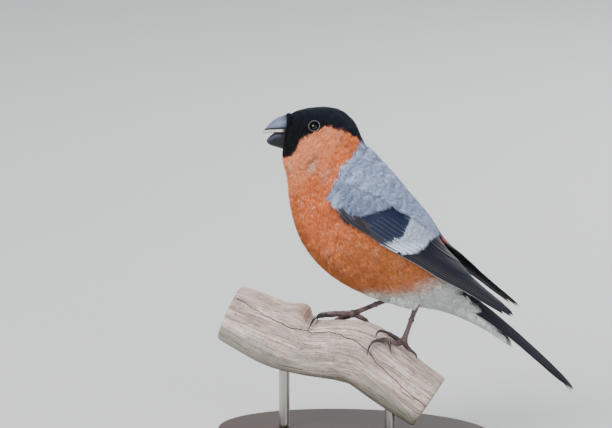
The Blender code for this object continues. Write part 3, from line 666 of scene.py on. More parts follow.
# %% [markdown]
# ## How a feather coat is made
# A bird's small feathers are soft fans of thin barbs that lie over one another like roof tiles. Hair
# particles would be lost when the model is exported, so each barb here is a blade of real mesh, with
# a root under the coat, a low ridge and a fine tip. A fan of blades makes one feather, and numpy
# places all the fans on a surface at once. Each blade bends with the surface that it lies on.

# %% Blades and fans
MOST_TRIANGLES = 190_000
BLADE_POINTS = 5  # root, the two sides of the middle, its ridge and the tip
BLADE_FACES = np.array([(0, 1, 3), (0, 3, 2), (0, 2, 1), (4, 3, 1), (4, 2, 3), (4, 1, 2)])
# Painted shade darkens each blade towards its root, and a little painted light brightens its tip.
BLADE_SHADE = np.array((0.62, 0.94, 0.94, 0.99, 1.1))
BLADE_PATCH = np.array(((0, -1), (-1, 0), (1, 0), (0, 0), (0, 1))) * 0.0015
SIDE_JITTER, TURN_JITTER, FAN_JITTER, BLADE_JITTER = 0.15, 0.05, 0.05, 0.03
OUTER_SHORTER, LENGTH_RANGE, WIDTH_RANGE = 0.35, (0.8, 1.15), (0.75, 1.2)
FAN_TONE, TONE_RANGE, TIP_LIFT, RIDGE_HEIGHT = 0.7, (0.6, 1.5), 1.5, 0.3


class Coat:
    """Collects blades, and turns them into pieces of fewer than 190,000 triangles."""

    def __init__(self, seed):
        self.dice = np.random.default_rng(seed)
        self.points, self.tints, self.uvs = [], [], []

    def fans(self, surface, u, v, length, width, colour, blades=12, turn=0.0, spread=0.3, fan=1.0,
             root=-0.8, middle=-0.15, tip=0.1, uv=(0.5, 0.5), vary=0.07):
        """One fan of blades at each (u, v). Sizes, turns and heights may differ from fan to fan."""
        dice, count = self.dice, len(u)
        shape = (count, blades)
        length, turn, width, fan, root, middle, tip = (
            np.broadcast_to(x, count)[:, None] for x in (length, turn, width, fan, root, middle, tip)
        )
        side = np.linspace(-1, 1, blades)[None] + dice.uniform(-SIDE_JITTER, SIDE_JITTER, shape)
        long = length * (1 - OUTER_SHORTER * side**2) * dice.uniform(*LENGTH_RANGE, shape)
        way = turn + spread * side + dice.normal(0, TURN_JITTER, shape)
        wide = width * dice.uniform(*WIDTH_RANGE, shape)
        lift = dice.normal(0, FAN_JITTER, (count, 1)) + dice.normal(0, BLADE_JITTER, shape)
        shade = 1 + dice.normal(0, vary * FAN_TONE, (count, 1)) + dice.normal(0, vary, shape)
        tint = np.asarray(colour)[:, None] * np.clip(shade, *TONE_RANGE)[..., None]
        heights = [(root + 0 * lift).ravel(), (middle + lift).ravel(), (tip + TIP_LIFT * lift).ravel()]
        long, way, wide, turns, offset = (
            np.broadcast_to(x, shape).ravel() for x in (long, way, wide, turn, side * fan * 0.5)
        )
        u0, v0 = np.repeat(u, blades), np.repeat(v, blades)
        du, dv = surface.moves(u0, v0, turns + np.pi / 2, offset)
        u0, v0 = u0 + du, v0 + dv
        du, dv = surface.moves(u0, v0, way, long)
        rows = []
        for t, height in zip((0.0, 0.5, 1.0), heights):
            here, along, around, normal = surface.frame(u0 + du * t, v0 + dv * t)
            here = here + normal * height[:, None]
            if t != 0.5:
                rows.append(here[:, None])
                continue
            ahead = unit(along * du[:, None] + around * dv[:, None])
            across = np.cross(normal, ahead) * (wide / 2)[:, None]
            ridge = here + normal * (wide * RIDGE_HEIGHT)[:, None]
            rows.append(np.stack([here - across, here + across, ridge], 1))
        self.points.append(np.concatenate(rows, 1))
        self.tints.append(tint.reshape(-1, 3))
        home = np.stack([np.repeat(np.broadcast_to(x, count), blades) for x in uv], -1)
        self.uvs.append(home[:, None] + BLADE_PATCH[None])

    def pieces(self, name, material, slot, mirror=False):
        points, tints = np.concatenate(self.points), np.concatenate(self.tints)
        uvs = np.concatenate(self.uvs)
        first = points[0] - points[0].mean(0)
        volume = sum(np.linalg.det(first[list(face)]) for face in BLADE_FACES)
        faces = BLADE_FACES if volume > 0 else BLADE_FACES[:, ::-1]
        if mirror:
            points, faces = points * (1, -1, 1), faces[:, ::-1]
        most = MOST_TRIANGLES // len(BLADE_FACES)
        for k in range(0, len(points), most):
            part = points[k : k + most]
            corners = (np.arange(len(part)) * BLADE_POINTS)[:, None, None] + faces[None]
            tint = tints[k : k + most, None] * BLADE_SHADE[:, None]
            rides(made(
                f"{name}_{k // most + 1}", part, corners.reshape(-1, 3), material,
                attributes={"tint": tint.reshape(-1, 3)}, uvs={"OFBake": uvs[k : k + most].reshape(-1, 2)},
            ), slot)


print("triangles in one blade:", len(BLADE_FACES))

# %% [markdown]
# ## Plumage material
# Every blade carries its own colour as an attribute called tint. The material adds fine streaks and
# a soft sheen. The cap and the flight feathers are glossier than the fluffy body, so roughness goes
# with how dark the tint is.

# %% Plumage material
plumage = Recipe("plumage")
tint = plumage.attribute("tint", "Color")
grain = plumage.noise(plumage.place(), scale=900.0, detail=2.0)
dark = 1 - plumage.smooth(plumage.attribute("tint"), low=0.015, high=0.1)
PLUMAGE = plumage.finish(
    Base_Color=plumage.tinted(tint, grain * 0.5 + 0.75),
    Roughness=0.78 - dark * 0.36,
    Specular_IOR_Level=0.2,
)
print("plumage nodes:", len(plumage.tree.nodes))

# %% [markdown]
# ## The skin
# Under the feathers lies one skin for head, neck, body and thighs, a little inside the solids. It
# shows only as a warm ground between the blades, so it takes the same markings, a little darker as
# painted shade in the gaps.

# %% Skin
SKIN_ROWS, SKIN_SIDES = 150, 96
COAT_DEPTH, FACE_DEPTH, TAIL_EXTRA_DEPTH = 0.62, 0.35, 0.9
FACE_SECTIONS, TAIL_SECTIONS, END_STEP = (3.5, 7.0), (15.5, 17.0), 0.1
SKIN_SHADE, DOWN_SHADE = 0.85, 0.8
LEGS = {
    "left": {"hip": (15.0, -8.6, 57.0), "heel": (24.6, -8.8, 51.2), "ankle": (19.1, -4.8, 36.3)},
    "right": {"hip": (3.0, 8.0, 58.0), "heel": (12.6, 8.0, 49.6), "ankle": (-1.6, 4.0, 43.8)},
}
THIGH_RADII = {"left": (5.2, 4.4, 3.0, 2.1), "right": (5.2, 4.2, 2.4, 1.4)}
THIGH_PAST_HEEL = {"left": 0.6, "right": -1.2}
THIGH_SKIN = (0.55, 0.78, 0.8, 0.8)

LAST = len(BODY) - 1


def coat_surface(s, angle):
    """The body's surface, drawn on straight past its two ends, for feathers that reach over them."""
    inside = body_point(np.clip(s, 0, LAST), angle)
    front = (body_point(END_STEP, angle) - body_point(0.0, angle)) / END_STEP
    back = (body_point(LAST, angle) - body_point(LAST - END_STEP, angle)) / END_STEP
    return inside + front * np.minimum(s, 0)[..., None] + back * np.maximum(s - LAST, 0)[..., None]


body = Surface(coat_surface, 1.0)
if body.frame(np.array([9.0]), np.array([np.pi / 2]))[3][0, 1] > 0:
    body.sign = -1.0


def depth_at(s):
    """How far the skin lies under the coat: least on the face, and more again under the tail."""
    depth = FACE_DEPTH + (COAT_DEPTH - FACE_DEPTH) * (1 - fade(s, *FACE_SECTIONS))
    return depth + TAIL_EXTRA_DEPTH * (1 - fade(s, *TAIL_SECTIONS))


def thigh_line(side):
    hip, heel = (np.array(LEGS[side][k]) for k in ("hip", "heel"))
    knee = heel + unit(heel - hip) * THIGH_PAST_HEEL[side]
    return [hip + (knee - hip) * f for f in (0, 0.4, 0.8, 1.0)]


s_grid = np.linspace(0, len(BODY) - 1, SKIN_ROWS)[:, None] + np.zeros((1, SKIN_SIDES))
a_grid = whole_turn(SKIN_SIDES)[None] + np.zeros((SKIN_ROWS, 1))
here, _, _, normal = body.frame(s_grid, a_grid)
skin_rings = here - normal * depth_at(s_grid)[..., None]
sets = [lidded(skin_rings)]
tints = [np.concatenate([(marking(s_grid, a_grid) * SKIN_SHADE).reshape(-1, 3), np.tile(BLACK, (2, 1))])]
for side in LEGS:
    radii = [radius * share for radius, share in zip(THIGH_RADII[side], THIGH_SKIN)]
    points, faces = lidded(tube_rings(thigh_line(side), radii, 14, 20))
    sets.append((points, faces))
    # The thighs' skin takes the vent's shaded colour, darkened again as painted shade.
    tints.append(np.tile(VENT_SHADE * DOWN_SHADE, (len(points), 1)))
points, faces = joined_arrays(sets)
skin = outward(made("skin", points, faces, PLUMAGE, attributes={"tint": np.concatenate(tints)}))
rides(skin, "orange_feather", "head", "neck", "torso", "thigh_left", "thigh_right")

# %% [markdown]
# ## The eye's place
# The eye sits where the photo shows it, sunk into the head as deep as a real one. Everything on the
# face keeps clear of it, so its place is worked out before the face is feathered.

# %% Eye places
EYE_AT, EYE_RADIUS, EYE_SUNK, LID_RADIUS = (-15.3, 117.1), 2.2, 1.3, 2.12


def surface_at(x, z):
    """Section and angle of the point on the left side of the head that has this x and z."""
    s, angle = np.meshgrid(np.linspace(0.5, 5, 181), np.radians(np.linspace(20, 160, 281)), indexing="ij")
    low_x, low_z, high_x, high_z, _ = np.moveaxis(through(BODY, s), -1, 0)
    off_x = (low_x + high_x + (high_x - low_x) * np.cos(angle)) / 2 - x
    off_z = (low_z + high_z + (high_z - low_z) * np.cos(angle)) / 2 - z
    k = np.argmin(off_x**2 + off_z**2)
    return s.flat[k], angle.flat[k]


eye_s, eye_angle = surface_at(*EYE_AT)
eyes = {}
for side, sign in (("left", 1), ("right", -1)):
    spot, _, _, facing = body.frame(np.array([eye_s]), np.array([sign * eye_angle]))
    eyes[side] = (spot[0] - facing[0] * EYE_SUNK, facing[0])
print("left eye at", np.round(eyes["left"][0], 1), "looking", np.round(eyes["left"][1], 2))


def from_eye(points):
    """How far points are from the nearer eye's line of sight."""
    far = []
    for centre, facing in eyes.values():
        off = points - centre
        ahead = off @ facing
        off = off - ahead[..., None] * facing
        far.append(np.where(ahead > -1, np.linalg.norm(off, axis=-1), 99.0))
    return np.minimum(*far)


# %% [markdown]
# ## Feathering the body
# Density, length and width change over the bird: tiny feathers on the face, longer ones on the breast
# and mantle, downy ones at the vent. The lie runs from the bill to the tail, as s does. Where a
# folded wing hides the body, no feathers are spent.

# %% Regions of the body's coat
SEED_STEPS = {"face": 6308, "neck": 4410, "front": 4710, "rear": 3310}
COVER = [(0.0, 8.0), (9.0, 12.5), (26.0, 14.0), (42.0, 12.5), (52.0, 9.0), (60.0, 4.0)]
COVER_LOW, COVER_FIRST, COVER_LAST, UV_MARGIN = 1.6, 2.5, 58.0, 0.04


def body_uv(s, angle):
    """The unwrap of the skin: sections across the map and angles up it, inside a small margin."""
    share = 1 - 2 * UV_MARGIN
    return UV_MARGIN + share * s / LAST, UV_MARGIN + share * (angle % TAU) / TAU


def on_wing(points):
    """u and across on the nearer wing for points of the body."""
    flat = points[..., (0, 2)] - BEND
    u, rise = flat @ wing.along, flat @ wing.up + AXIS_DROP
    return u, wing.across(u, np.arctan2(rise, np.abs(points[..., 1])))


def under_wing(points):
    """True where a folded wing hides the body, on either side."""
    u, across = on_wing(points)
    high = np.interp(u, [row[0] for row in COVER], [row[1] for row in COVER])
    return (u > COVER_FIRST) & (u < COVER_LAST) & (across > COVER_LOW) & (across < high)


REGIONS = {  # sections, fans, lengths, blade width, fan widths, blades, change of tone
    "face": ((0.02, 4.6), 6300, (1.3, 2.7), 0.17, (0.7, 1.2), 8, 0.05),
    "neck": ((4.2, 7.4), 4400, (2.9, 4.0), 0.22, (1.4, 1.9), 10, 0.09),
    "front": ((7.0, 11.4), 4700, (4.2, 5.2), 0.26, (2.0, 2.2), 10, 0.09),
    "rear": ((11.0, 16.9), 3300, (4.4, 5.0), 0.26, (2.0, 1.8), 10, 0.09),
}
STREAK_TONE, CLUMP_TONE, BRIGHT_TONE, BRIGHT_FROM = 0.13, 0.08, 0.25, 0.55
PALE_CHANCE, PALE_AMOUNT, FLOW_TURN, TURN_NOISE = 0.10, 0.45, 0.22, 0.07
print("fans on the body:", sum(row[1] for row in REGIONS.values()))

# %% [markdown]
# Around the eye the feathers are tiny and stop at the lid. Towards it they shorten with the room
# that is left, and away from it they start short, so that none lies over the ball.


# %% Room round the eye
EYE_REACH, EYE_MOUND, EYE_MOUND_AT, EYE_MOUND_WIDE = 6.0, 0.42, 2.3, 0.6


def clear(s, angle):
    points = body_point(s, angle)
    return (from_eye(points) > LID_RADIUS) & ~under_wing(points)


def short_at_eye(s, angle, length, off):
    """Lengths that fit between a feather's root and the lid."""
    to_eye = from_eye(body.point(s + 0.2, angle)) < off
    room = np.where(to_eye, 0.9 * (off - LID_RADIUS) + 0.12, 0.8 + 0.42 * (off - LID_RADIUS))
    return np.where(off < EYE_REACH, np.minimum(length, room), length)


# %% [markdown]
# A flat coat looks painted on. Feathers stand up a little in clumps, in a mound round the eye, along
# the crest behind the crown, and where the breast closes over the bend of the wing.


# %% Where the coat stands up
CLUMP_LIFT, BEND_AT, BEND_WIDE, BEND_LIFT, BEND_LONGER = 0.07, -2.2, 1.7, 0.75, 0.3
BEND_ACROSS, BEND_REACH = 6.0, (7.0, 11.0)
CREST_AT, CREST_WIDE, CREST_LIFT, CREST_ANGLES = 4.6, 0.5, 0.45, (0.3, 0.9)


def over_bend(s, angle):
    """1 where the body's feathers close over the bend of the wing."""
    u, across = on_wing(body_point(s, angle))
    return hill(u, BEND_AT, BEND_WIDE) * fade(np.abs(across - BEND_ACROSS), *BEND_REACH)


def stand_up(s, angle, off, bend, dice):
    lift = CLUMP_LIFT * clumps(s / LAST + 0.4, angle / TAU * 2) * (s > 1.0)
    lift = lift + EYE_MOUND * hill(off, EYE_MOUND_AT, EYE_MOUND_WIDE) + BEND_LIFT * bend
    from_top = np.abs((angle + np.pi) % TAU - np.pi)
    crest = CREST_LIFT * hill(s, CREST_AT, CREST_WIDE) * fade(from_top, *CREST_ANGLES)
    return lift + crest * dice.uniform(0, 1, len(s))


def body_colour(s, angle, at_s, at_angle, dice):
    """The marking at a feather's tip, with streaks and clumps of tone and a few pale feathers."""
    place = s / LAST, angle / TAU
    tone = 1 + STREAK_TONE * streaks(*place) + CLUMP_TONE * clumps(*place)
    bright = streaks(place[0] * 1.7, place[1] + 0.3) - BRIGHT_FROM
    tone = tone + BRIGHT_TONE * np.clip(bright, 0, 1)
    colour = marking(at_s, at_angle) * tone[:, None]
    warm = np.clip(colour[:, 0] - 2.2 * colour[:, 2], 0, 1)[:, None]
    pale = (dice.uniform(0, 1, (len(s), 1)) < PALE_CHANCE) * warm * PALE_AMOUNT
    return colour + (PALE_ORANGE - colour) * pale


# %% [markdown]
# With every rule at hand, each region is planted in one go. A last set of long soft feathers under
# the tail hides where the body ends.

# %% Feathers on the body
UNDERTAIL, UNDERTAIL_SECTIONS, UNDERTAIL_LENGTHS = 420, (14.2, 16.9), (3.6, 5.2)
for region, (sections, count, lengths, width, fan_widths, blades, vary) in REGIONS.items():
    coat = Coat(SEED + SEED_STEPS[region])
    dice = coat.dice
    s, angle = scattered(body, (sections[0], 0.0), (sections[1], TAU), count, dice, clear)
    share = np.clip((s - sections[0]) / (sections[1] - sections[0]), 0, 1)
    length = lengths[0] + (lengths[1] - lengths[0]) * share
    fan = fan_widths[0] + (fan_widths[1] - fan_widths[0]) * share
    off = from_eye(body_point(s, angle))
    length = short_at_eye(s, angle, length, off)
    du, dv = body.moves(s, angle, np.zeros(len(s)), length * 0.7)
    colour = body_colour(s, angle, s + du, angle + dv, dice)
    turn = FLOW_TURN * flow(s / LAST, angle / TAU) + dice.normal(0, TURN_NOISE, len(s))
    bend = over_bend(s, angle)
    lift, depth = stand_up(s, angle, off, bend, dice), depth_at(s)
    coat.fans(body, s, angle, length * (1 + BEND_LONGER * bend), width, colour, blades, turn=turn,
              spread=0.24, fan=fan, root=-depth - 0.15, middle=-depth * 0.3 + lift,
              tip=depth * 0.1 + lift, uv=body_uv(s, angle), vary=vary)
    if region == "rear":
        s = dice.uniform(*UNDERTAIL_SECTIONS, UNDERTAIL)
        angle = dice.uniform(0.5 * np.pi, 1.5 * np.pi, UNDERTAIL)
        colour = marking(s, angle) * (1 + 0.12 * streaks(s / LAST, angle / TAU))[:, None]
        coat.fans(body, s, angle, dice.uniform(*UNDERTAIL_LENGTHS, UNDERTAIL), 0.25, colour, 10,
                  turn=0.15 * flow(s / LAST, angle / TAU), spread=0.2, fan=1.6, root=-0.8, middle=0.0,
                  tip=-0.35, uv=body_uv(s, angle))
    coat.pieces("coat_" + region, PLUMAGE, "orange_feather")

# %% [markdown]
# ## Thighs and loose hairs
# The legs come out of short trousers of down, which hide the knee. A few long pale hairs hang from
# the belly just before the far leg.

# %% Thigh down
DOWN_FANS, DOWN_FROM_TO, DOWN_BLADES = 680, (0.15, 2.75), 9
downs = Coat(SEED + 30)
dice = downs.dice
for side in LEGS:
    knots = thigh_line(side)
    line_ahead = unit(knots[-1] - knots[0])
    line_side = unit(np.cross(line_ahead, OFF_AXIS))
    line_other = np.cross(line_ahead, line_side)

    def thigh_point(u, v, knots=knots, side=side, one=line_side, two=line_other):
        middle, radius = through(knots, u), through(THIGH_RADII[side], u)
        return middle + radius[..., None] * (np.cos(v)[..., None] * one + np.sin(v)[..., None] * two)

    thigh = Surface(thigh_point, 1.0)
    away = thigh.frame(np.array([1.0]), np.array([0.0]))[3][0] @ line_side
    thigh.sign = 1.0 if away > 0 else -1.0
    u, v = dice.uniform(*DOWN_FROM_TO, DOWN_FANS), dice.uniform(0, TAU, DOWN_FANS)
    # The far thigh's down is the vent's white in painted shade, darker than the near one.
    tone = VENT_WHITE if side == "left" else VENT_SHADE * DOWN_SHADE
    colour = tone * (1 + 0.12 * clumps(u / 4, v / TAU))[:, None]
    downs.fans(thigh, u, v, 3.0 - 0.4 * u, 0.22, colour, DOWN_BLADES, turn=0.2 * flow(u / 3, v / TAU),
               spread=0.3, fan=1.3, root=-1.0, middle=-0.25, tip=0.05, uv=(0.05 + u / 40, 0.9 + v / 80))
HAIR_AT, HAIR_SCATTER, HAIRS, HAIR_COLOUR = (10.95, 134.0), (0.10, 2.5), 8, (0.85, 0.85, 0.70)
s = HAIR_AT[0] + dice.normal(0, HAIR_SCATTER[0], HAIRS)
angle = np.radians(HAIR_AT[1] + dice.normal(0, HAIR_SCATTER[1], HAIRS))
downs.fans(body, s, angle, 3.2, 0.10, np.tile(HAIR_COLOUR, (HAIRS, 1)), 5, turn=-0.9, spread=0.8,
           root=-0.3, middle=0.7, tip=2.0, fan=1.6, uv=body_uv(s, angle))
downs.pieces("coat_thighs", PLUMAGE, "white_feather")

# %% [markdown]
# ## Wing feathers as vanes
# A flight feather is a stiff vane with a shaft. Here it is a thin closed plate of its own, cambered
# and rounded at its tip, with a UV map that runs across and along it. The material draws the shaft,
# the fine slanting barbs and the pale rim from that map.

# %% Feather material
SHAFT_AT, BARBS, BARB_SLANT = 0.38, 420.0, 160.0
RIM_GREY, SHAFT_BLACK = (0.30, 0.30, 0.34), (0.004, 0.004, 0.005)
quill = Recipe("quill")
over = quill.node("ShaderNodeSeparateXYZ", None, {0: quill.uv("vane")})
along = Wire(quill, over.socket.node.outputs[1])
tint = quill.attribute("tint", "Color")
rim = quill.attribute("rim")
middle = (over - SHAFT_AT).math("ABSOLUTE")
shaft = 1 - quill.smooth(middle, low=0.012, high=0.035)
barbs = (along * BARBS + middle * BARB_SLANT).math("SINE")
slant = quill.noise(quill.stretched(quill.uv("vane"), (6.0, 70.0, 1.0)), scale=3.0, detail=3.0)
outer = 1 - quill.smooth(over, low=0.02, high=0.08)
base = quill.tinted(tint, slant * 0.7 + 0.65)
edged = quill.mix(outer * rim * 0.8, base, RIM_GREY)
QUILL = quill.finish(
    Base_Color=quill.mix(shaft * 0.55, edged, SHAFT_BLACK),
    Roughness=0.40 + slant * 0.14,
    Specular_IOR_Level=0.22,
    Normal=quill.bump(barbs * 0.4 + shaft * 2.0 + slant, strength=0.25, distance=0.00006),
)
print("quill nodes:", len(quill.tree.nodes))

# %% [markdown]
# A vane starts narrow, widens, and rounds off at its tip. It leans, so that its lower edge lies over
# the next feather, and its root may dive under the coat. A plane with a feather's picture would be
# quicker, but it has no edge, no camber and nothing to cast a shadow.

# %% Vanes
VANE_ROWS, VANE_SIDES, VANE_THICKNESS, VANE_CAMBER = 18, 9, 0.08, 0.06
VANE_LEAST, ROW_CROWDING, TIP_POWER, SWEEP_POWER = 0.03, 1.6, 0.62, 8
NOTCH, NOTCH_FROM, DIVE_SHARE, EDGE_ROUND = 0.02, 0.3, 0.25, 0.04
UNDERWING, UNDERWING_SHARE = rgb(0.016, 0.016, 0.021), 0.5


def vane_rings(place, start, tip, width, lift, base, rounding=6.0, sweep=0.12, notch=None, dive=0.0):
    """Rings of one feather: its upper face and then its lower face, from root to tip."""
    t = 1 - (1 - np.linspace(0, 1, VANE_ROWS)) ** ROW_CROWDING
    span = np.maximum(np.minimum(1, 0.5 + 2 * t) * (1 - t**rounding) ** TIP_POWER, VANE_LEAST)
    distance, low = (start[k] + (tip[k] - start[k]) * t for k in (0, 1))
    low = low + sweep * width * t**SWEEP_POWER
    if notch is not None:
        span = span * (1 - NOTCH * notch * (t > NOTCH_FROM))
    f = np.linspace(0, 1, VANE_SIDES)[None]
    across = low[:, None] + width * span[:, None] * f
    raised = base + lift * span[:, None] * (1 - f) + VANE_CAMBER * np.sin(np.pi * f) * span[:, None]
    raised = raised - dive * np.clip(1 - t / DIVE_SHARE, 0, 1)[:, None] ** 2
    distance = distance[:, None] + 0 * f
    rim = VANE_THICKNESS * np.sin(np.pi * np.clip(f, EDGE_ROUND, 1 - EDGE_ROUND)) ** 0.5
    upper = place(distance, across, raised + rim)
    lower = place(distance, across, raised)[:, ::-1]
    over = np.concatenate([f + 0 * across, (f + 0 * across)[:, ::-1]], 1)
    length = t[:, None] + 0 * over
    return np.concatenate([upper, lower], 1), np.stack([over, length], -1), distance, across


class Plume:
    """Collects the vanes of one piece, with their colours and how pale each rim is."""

    def __init__(self):
        self.sets, self.uvs, self.tints, self.rims = [], [], [], []

    def add(self, place, start, tip, width, lift, base, colour, rim=1.0, **more):
        rings, uv, distance, across = vane_rings(place, start, tip, width, lift, base, **more)
        points, faces = lidded(rings)
        if callable(colour):
            tint = colour(distance, across)
        else:
            tint = np.broadcast_to(colour, distance.shape + (3,))
        tint = np.concatenate([tint, tint[:, ::-1] * UNDERWING_SHARE + UNDERWING], 1).reshape(-1, 3)
        self.sets.append((points, faces))
        self.uvs.append(np.concatenate([uv.reshape(-1, 2), uv[0].mean(0)[None], uv[-1].mean(0)[None]]))
        self.tints.append(np.concatenate([tint, tint[:1], tint[-1:]]))
        self.rims.append(np.full(len(points), rim))

    def piece(self, name, material, mirror=False):
        points, faces = joined_arrays(self.sets)
        if mirror:
            points = points * (1, -1, 1)
        attributes = {"tint": np.concatenate(self.tints), "rim": np.concatenate(self.rims)}
        uvs = {"vane": np.concatenate(self.uvs)}
        return outward(made(name, points, faces, material, attributes=attributes, uvs=uvs))


print("points in one vane:", VANE_ROWS * VANE_SIDES * 2)

# %% [markdown]
# ## The wing, tier by tier
# Nine primaries reach the tip, six secondaries and three tertials lie over them, then come the
# primary coverts, the greater coverts with their whitish tips, and the alula. Every tier runs from
# its outermost to its innermost feather, and each feather lifts its lower edge over the next one.

# %% Colours and borders of the wing
FLIGHT, FLIGHT_BROWN = rgb(0.0075, 0.009, 0.017), rgb(0.014, 0.0135, 0.019)
PATCH_BLUE = rgb(0.010, 0.017, 0.046)
BAR_PALE, BAR_GREY = rgb(0.68, 0.79, 0.93), rgb(0.44, 0.51, 0.65)
WRIST_BROWN, BLOOD_RED = rgb(0.024, 0.022, 0.028), rgb(0.55, 0.06, 0.05)
# Each border goes from degrees round the wing to a distance along it.
PATCH_START = [(14, 17.5), (20, 7.5), (25, 12.5), (38, 17.0), (54, 20.5), (56, 29.0), (81.5, 35.5)]
PATCH_END = [(14, 25.5), (18, 27.5), (25, 29.8), (31.5, 31.0), (45, 30.5), (56, 29.5), (81.5, 35.5)]
BAR_END = [(12, 25.0), (14, 27.0), (18, 34.0), (25.5, 37.0), (38.5, 39.0), (75, 40.0), (90, 40.0)]
PATCH_SOFT, BAR_FADE = (1.5, 1.8), (36, 66)
RED_AT, RED_LONG, RED_ANGLE, RED_WIDE = 43.0, 1.1, 84, 7


def covert_colour(u, across):
    """Blue-black bases and whitish tips of the greater coverts, with a ragged edge between."""
    degrees = np.degrees(wing.angle(u, across))
    limit = line(PATCH_END, degrees) + (0.8 * np.sin(across * 5.3) + 0.5 * np.sin(across * 12.1 + 1.0))
    pale = 1 - fade(u, limit - PATCH_SOFT[0], limit + PATCH_SOFT[1])
    return blend(PATCH_BLUE, blend(BAR_PALE, BAR_GREY, 1 - fade(degrees, *BAR_FADE)), pale)


def tertial_colour(u, across):
    """The innermost tertial is blue-black with a small red mark, which many bullfinches have."""
    degrees = np.degrees(wing.angle(u, across))
    return blend(FLIGHT, BLOOD_RED, hill(u, RED_AT, RED_LONG) * hill(degrees, RED_ANGLE, RED_WIDE))


print("tip of a greater covert:", np.round(covert_colour(np.array([36.0]), np.array([6.0])), 2))

# %% [markdown]
# Every tier is one row of numbers: where its first feather starts and ends, where its last one does,
# and how wide, how tilted and how high they are. The tips of the primaries fan out unevenly, so they
# have a list of their own. The left wing is built and the right one mirrors it.

# %% Wing feathers
WING_TIERS = {  # first start, first tip, last start, last tip, width, count, lift, base, dive, colour
    "primary": ((20.0, 0.0), (77.0, -0.1), (22.0, 6.4), (62.0, 5.6), 3.0, 9, 0.75, 0.15, 0.0, FLIGHT_BROWN),
    "secondary": ((24.0, 6.6), (60.5, 6.0), (26.0, 10.4), (54.5, 9.6), 3.2, 6, 0.75, 0.3, 0.0, FLIGHT),
    "tertial": ((25.0, 10.6), (53.0, 10.2), (27.0, 13.8), (47.0, 13.6), 4.6, 3, 0.8, 0.4, 0.0, FLIGHT),
    "primary_covert": ((6.0, 0.2), (31.0, 0.5), (8.0, 3.0), (26.5, 3.4), 2.0, 7, 0.6, 1.5, 1.8,
                       WRIST_BROWN),
    "alula": ((2.0, 0.5), (19.5, 0.5), (3.0, 2.2), (13.5, 2.6), 2.0, 3, 0.6, 2.1, 2.6, WRIST_BROWN),
}
PRIMARY_TIPS = [76.4, 79.4, 79.9, 79.0, 76.0, 72.0, 68.0, 65.0, 62.6]
RIMS = {"secondary": 0.10, "tertial": 0.07, "primary_covert": 0.3, "alula": 0.3}
PRIMARY_RIM, PRIMARY_RIM_DROP, OUTERMOST_RIM, RIM_RANGE = 0.34, 0.2, 1.4, (0.4, 1.4)
HUE_RANGE, WIDTH_CHANGE = (0.8, 1.2), (0.96, 1.04)
vary = np.random.default_rng(SEED + 40)
plume = Plume()
for tier, row in WING_TIERS.items():
    first, first_tip, last, last_tip, width, count, lift, base_height, dive, colour = row
    for k in range(count):
        f = k / (count - 1)
        start = np.array(first) * (1 - f) + np.array(last) * f
        tip = np.array(first_tip) * (1 - f) + np.array(last_tip) * f
        darker = f if tier == "primary" else 0.0
        hue = (colour + (FLIGHT - colour) * darker) * vary.uniform(*HUE_RANGE)
        rim, rim_change = RIMS.get(tier), vary.uniform(*RIM_RANGE)
        if tier == "primary":
            tip[0] = PRIMARY_TIPS[k]
            rim = (PRIMARY_RIM - PRIMARY_RIM_DROP * f) * rim_change if k else OUTERMOST_RIM
        if tier == "tertial" and k == count - 1:
            hue = tertial_colour
        plume.add(wing.point, start, tip, width * vary.uniform(*WIDTH_CHANGE), lift, base_height, hue,
                  rim, notch=vary.uniform(-1, 1, VANE_ROWS), dive=dive)

# %% [markdown]
# The greater coverts are the twelve feathers that carry the whitish bar. They lie over the flight
# feathers in a fan of their own, and end along the bar's border.

# %% Greater coverts
COVERTS, COVERT_LENGTH, COVERT_WIDTH, COVERT_DIVE = 12, 25.0, 3.3, 1.4
COVERT_ANGLES, COVERT_LEAN, COVERT_LIFT, COVERT_RIM = (17.0, 60.0), 1.15, 0.5, 0.3
COVERT_HEIGHT, COVERT_SWELL, COVERT_SINK = 1.4, 0.5, 0.9
for k in range(COVERTS):
    f = k / (COVERTS - 1)
    degrees = COVERT_ANGLES[0] + COVERT_ANGLES[1] * f**COVERT_LEAN
    end = line(BAR_END, degrees)
    across = float(wing.across(np.array(end), np.radians(degrees)))
    start, tip = (end - COVERT_LENGTH, across * 0.92 - 0.6), (end - 0.6, across - 1.2)
    height = COVERT_HEIGHT + COVERT_SWELL * math.sin(math.pi * f) - COVERT_SINK * f**3
    plume.add(wing.point, start, tip, COVERT_WIDTH, COVERT_LIFT, height, covert_colour, COVERT_RIM,
              rounding=4.0, dive=COVERT_DIVE)
for side, mirror in (("left", False), ("right", True)):
    feathers = plume.piece("feathers_wing_" + side, QUILL, mirror)
    rides(feathers, "black_feather", "wing_" + side)

# %% [markdown]
# ## Small coverts
# Soft blue-grey feathers hide the roots of the big ones. The arm under them is a low mound on the
# wing. Its ground is a mesh of its own, dark where the black patch begins, and it dives under the
# breast's feathers at the bend, so that no bare edge shows.

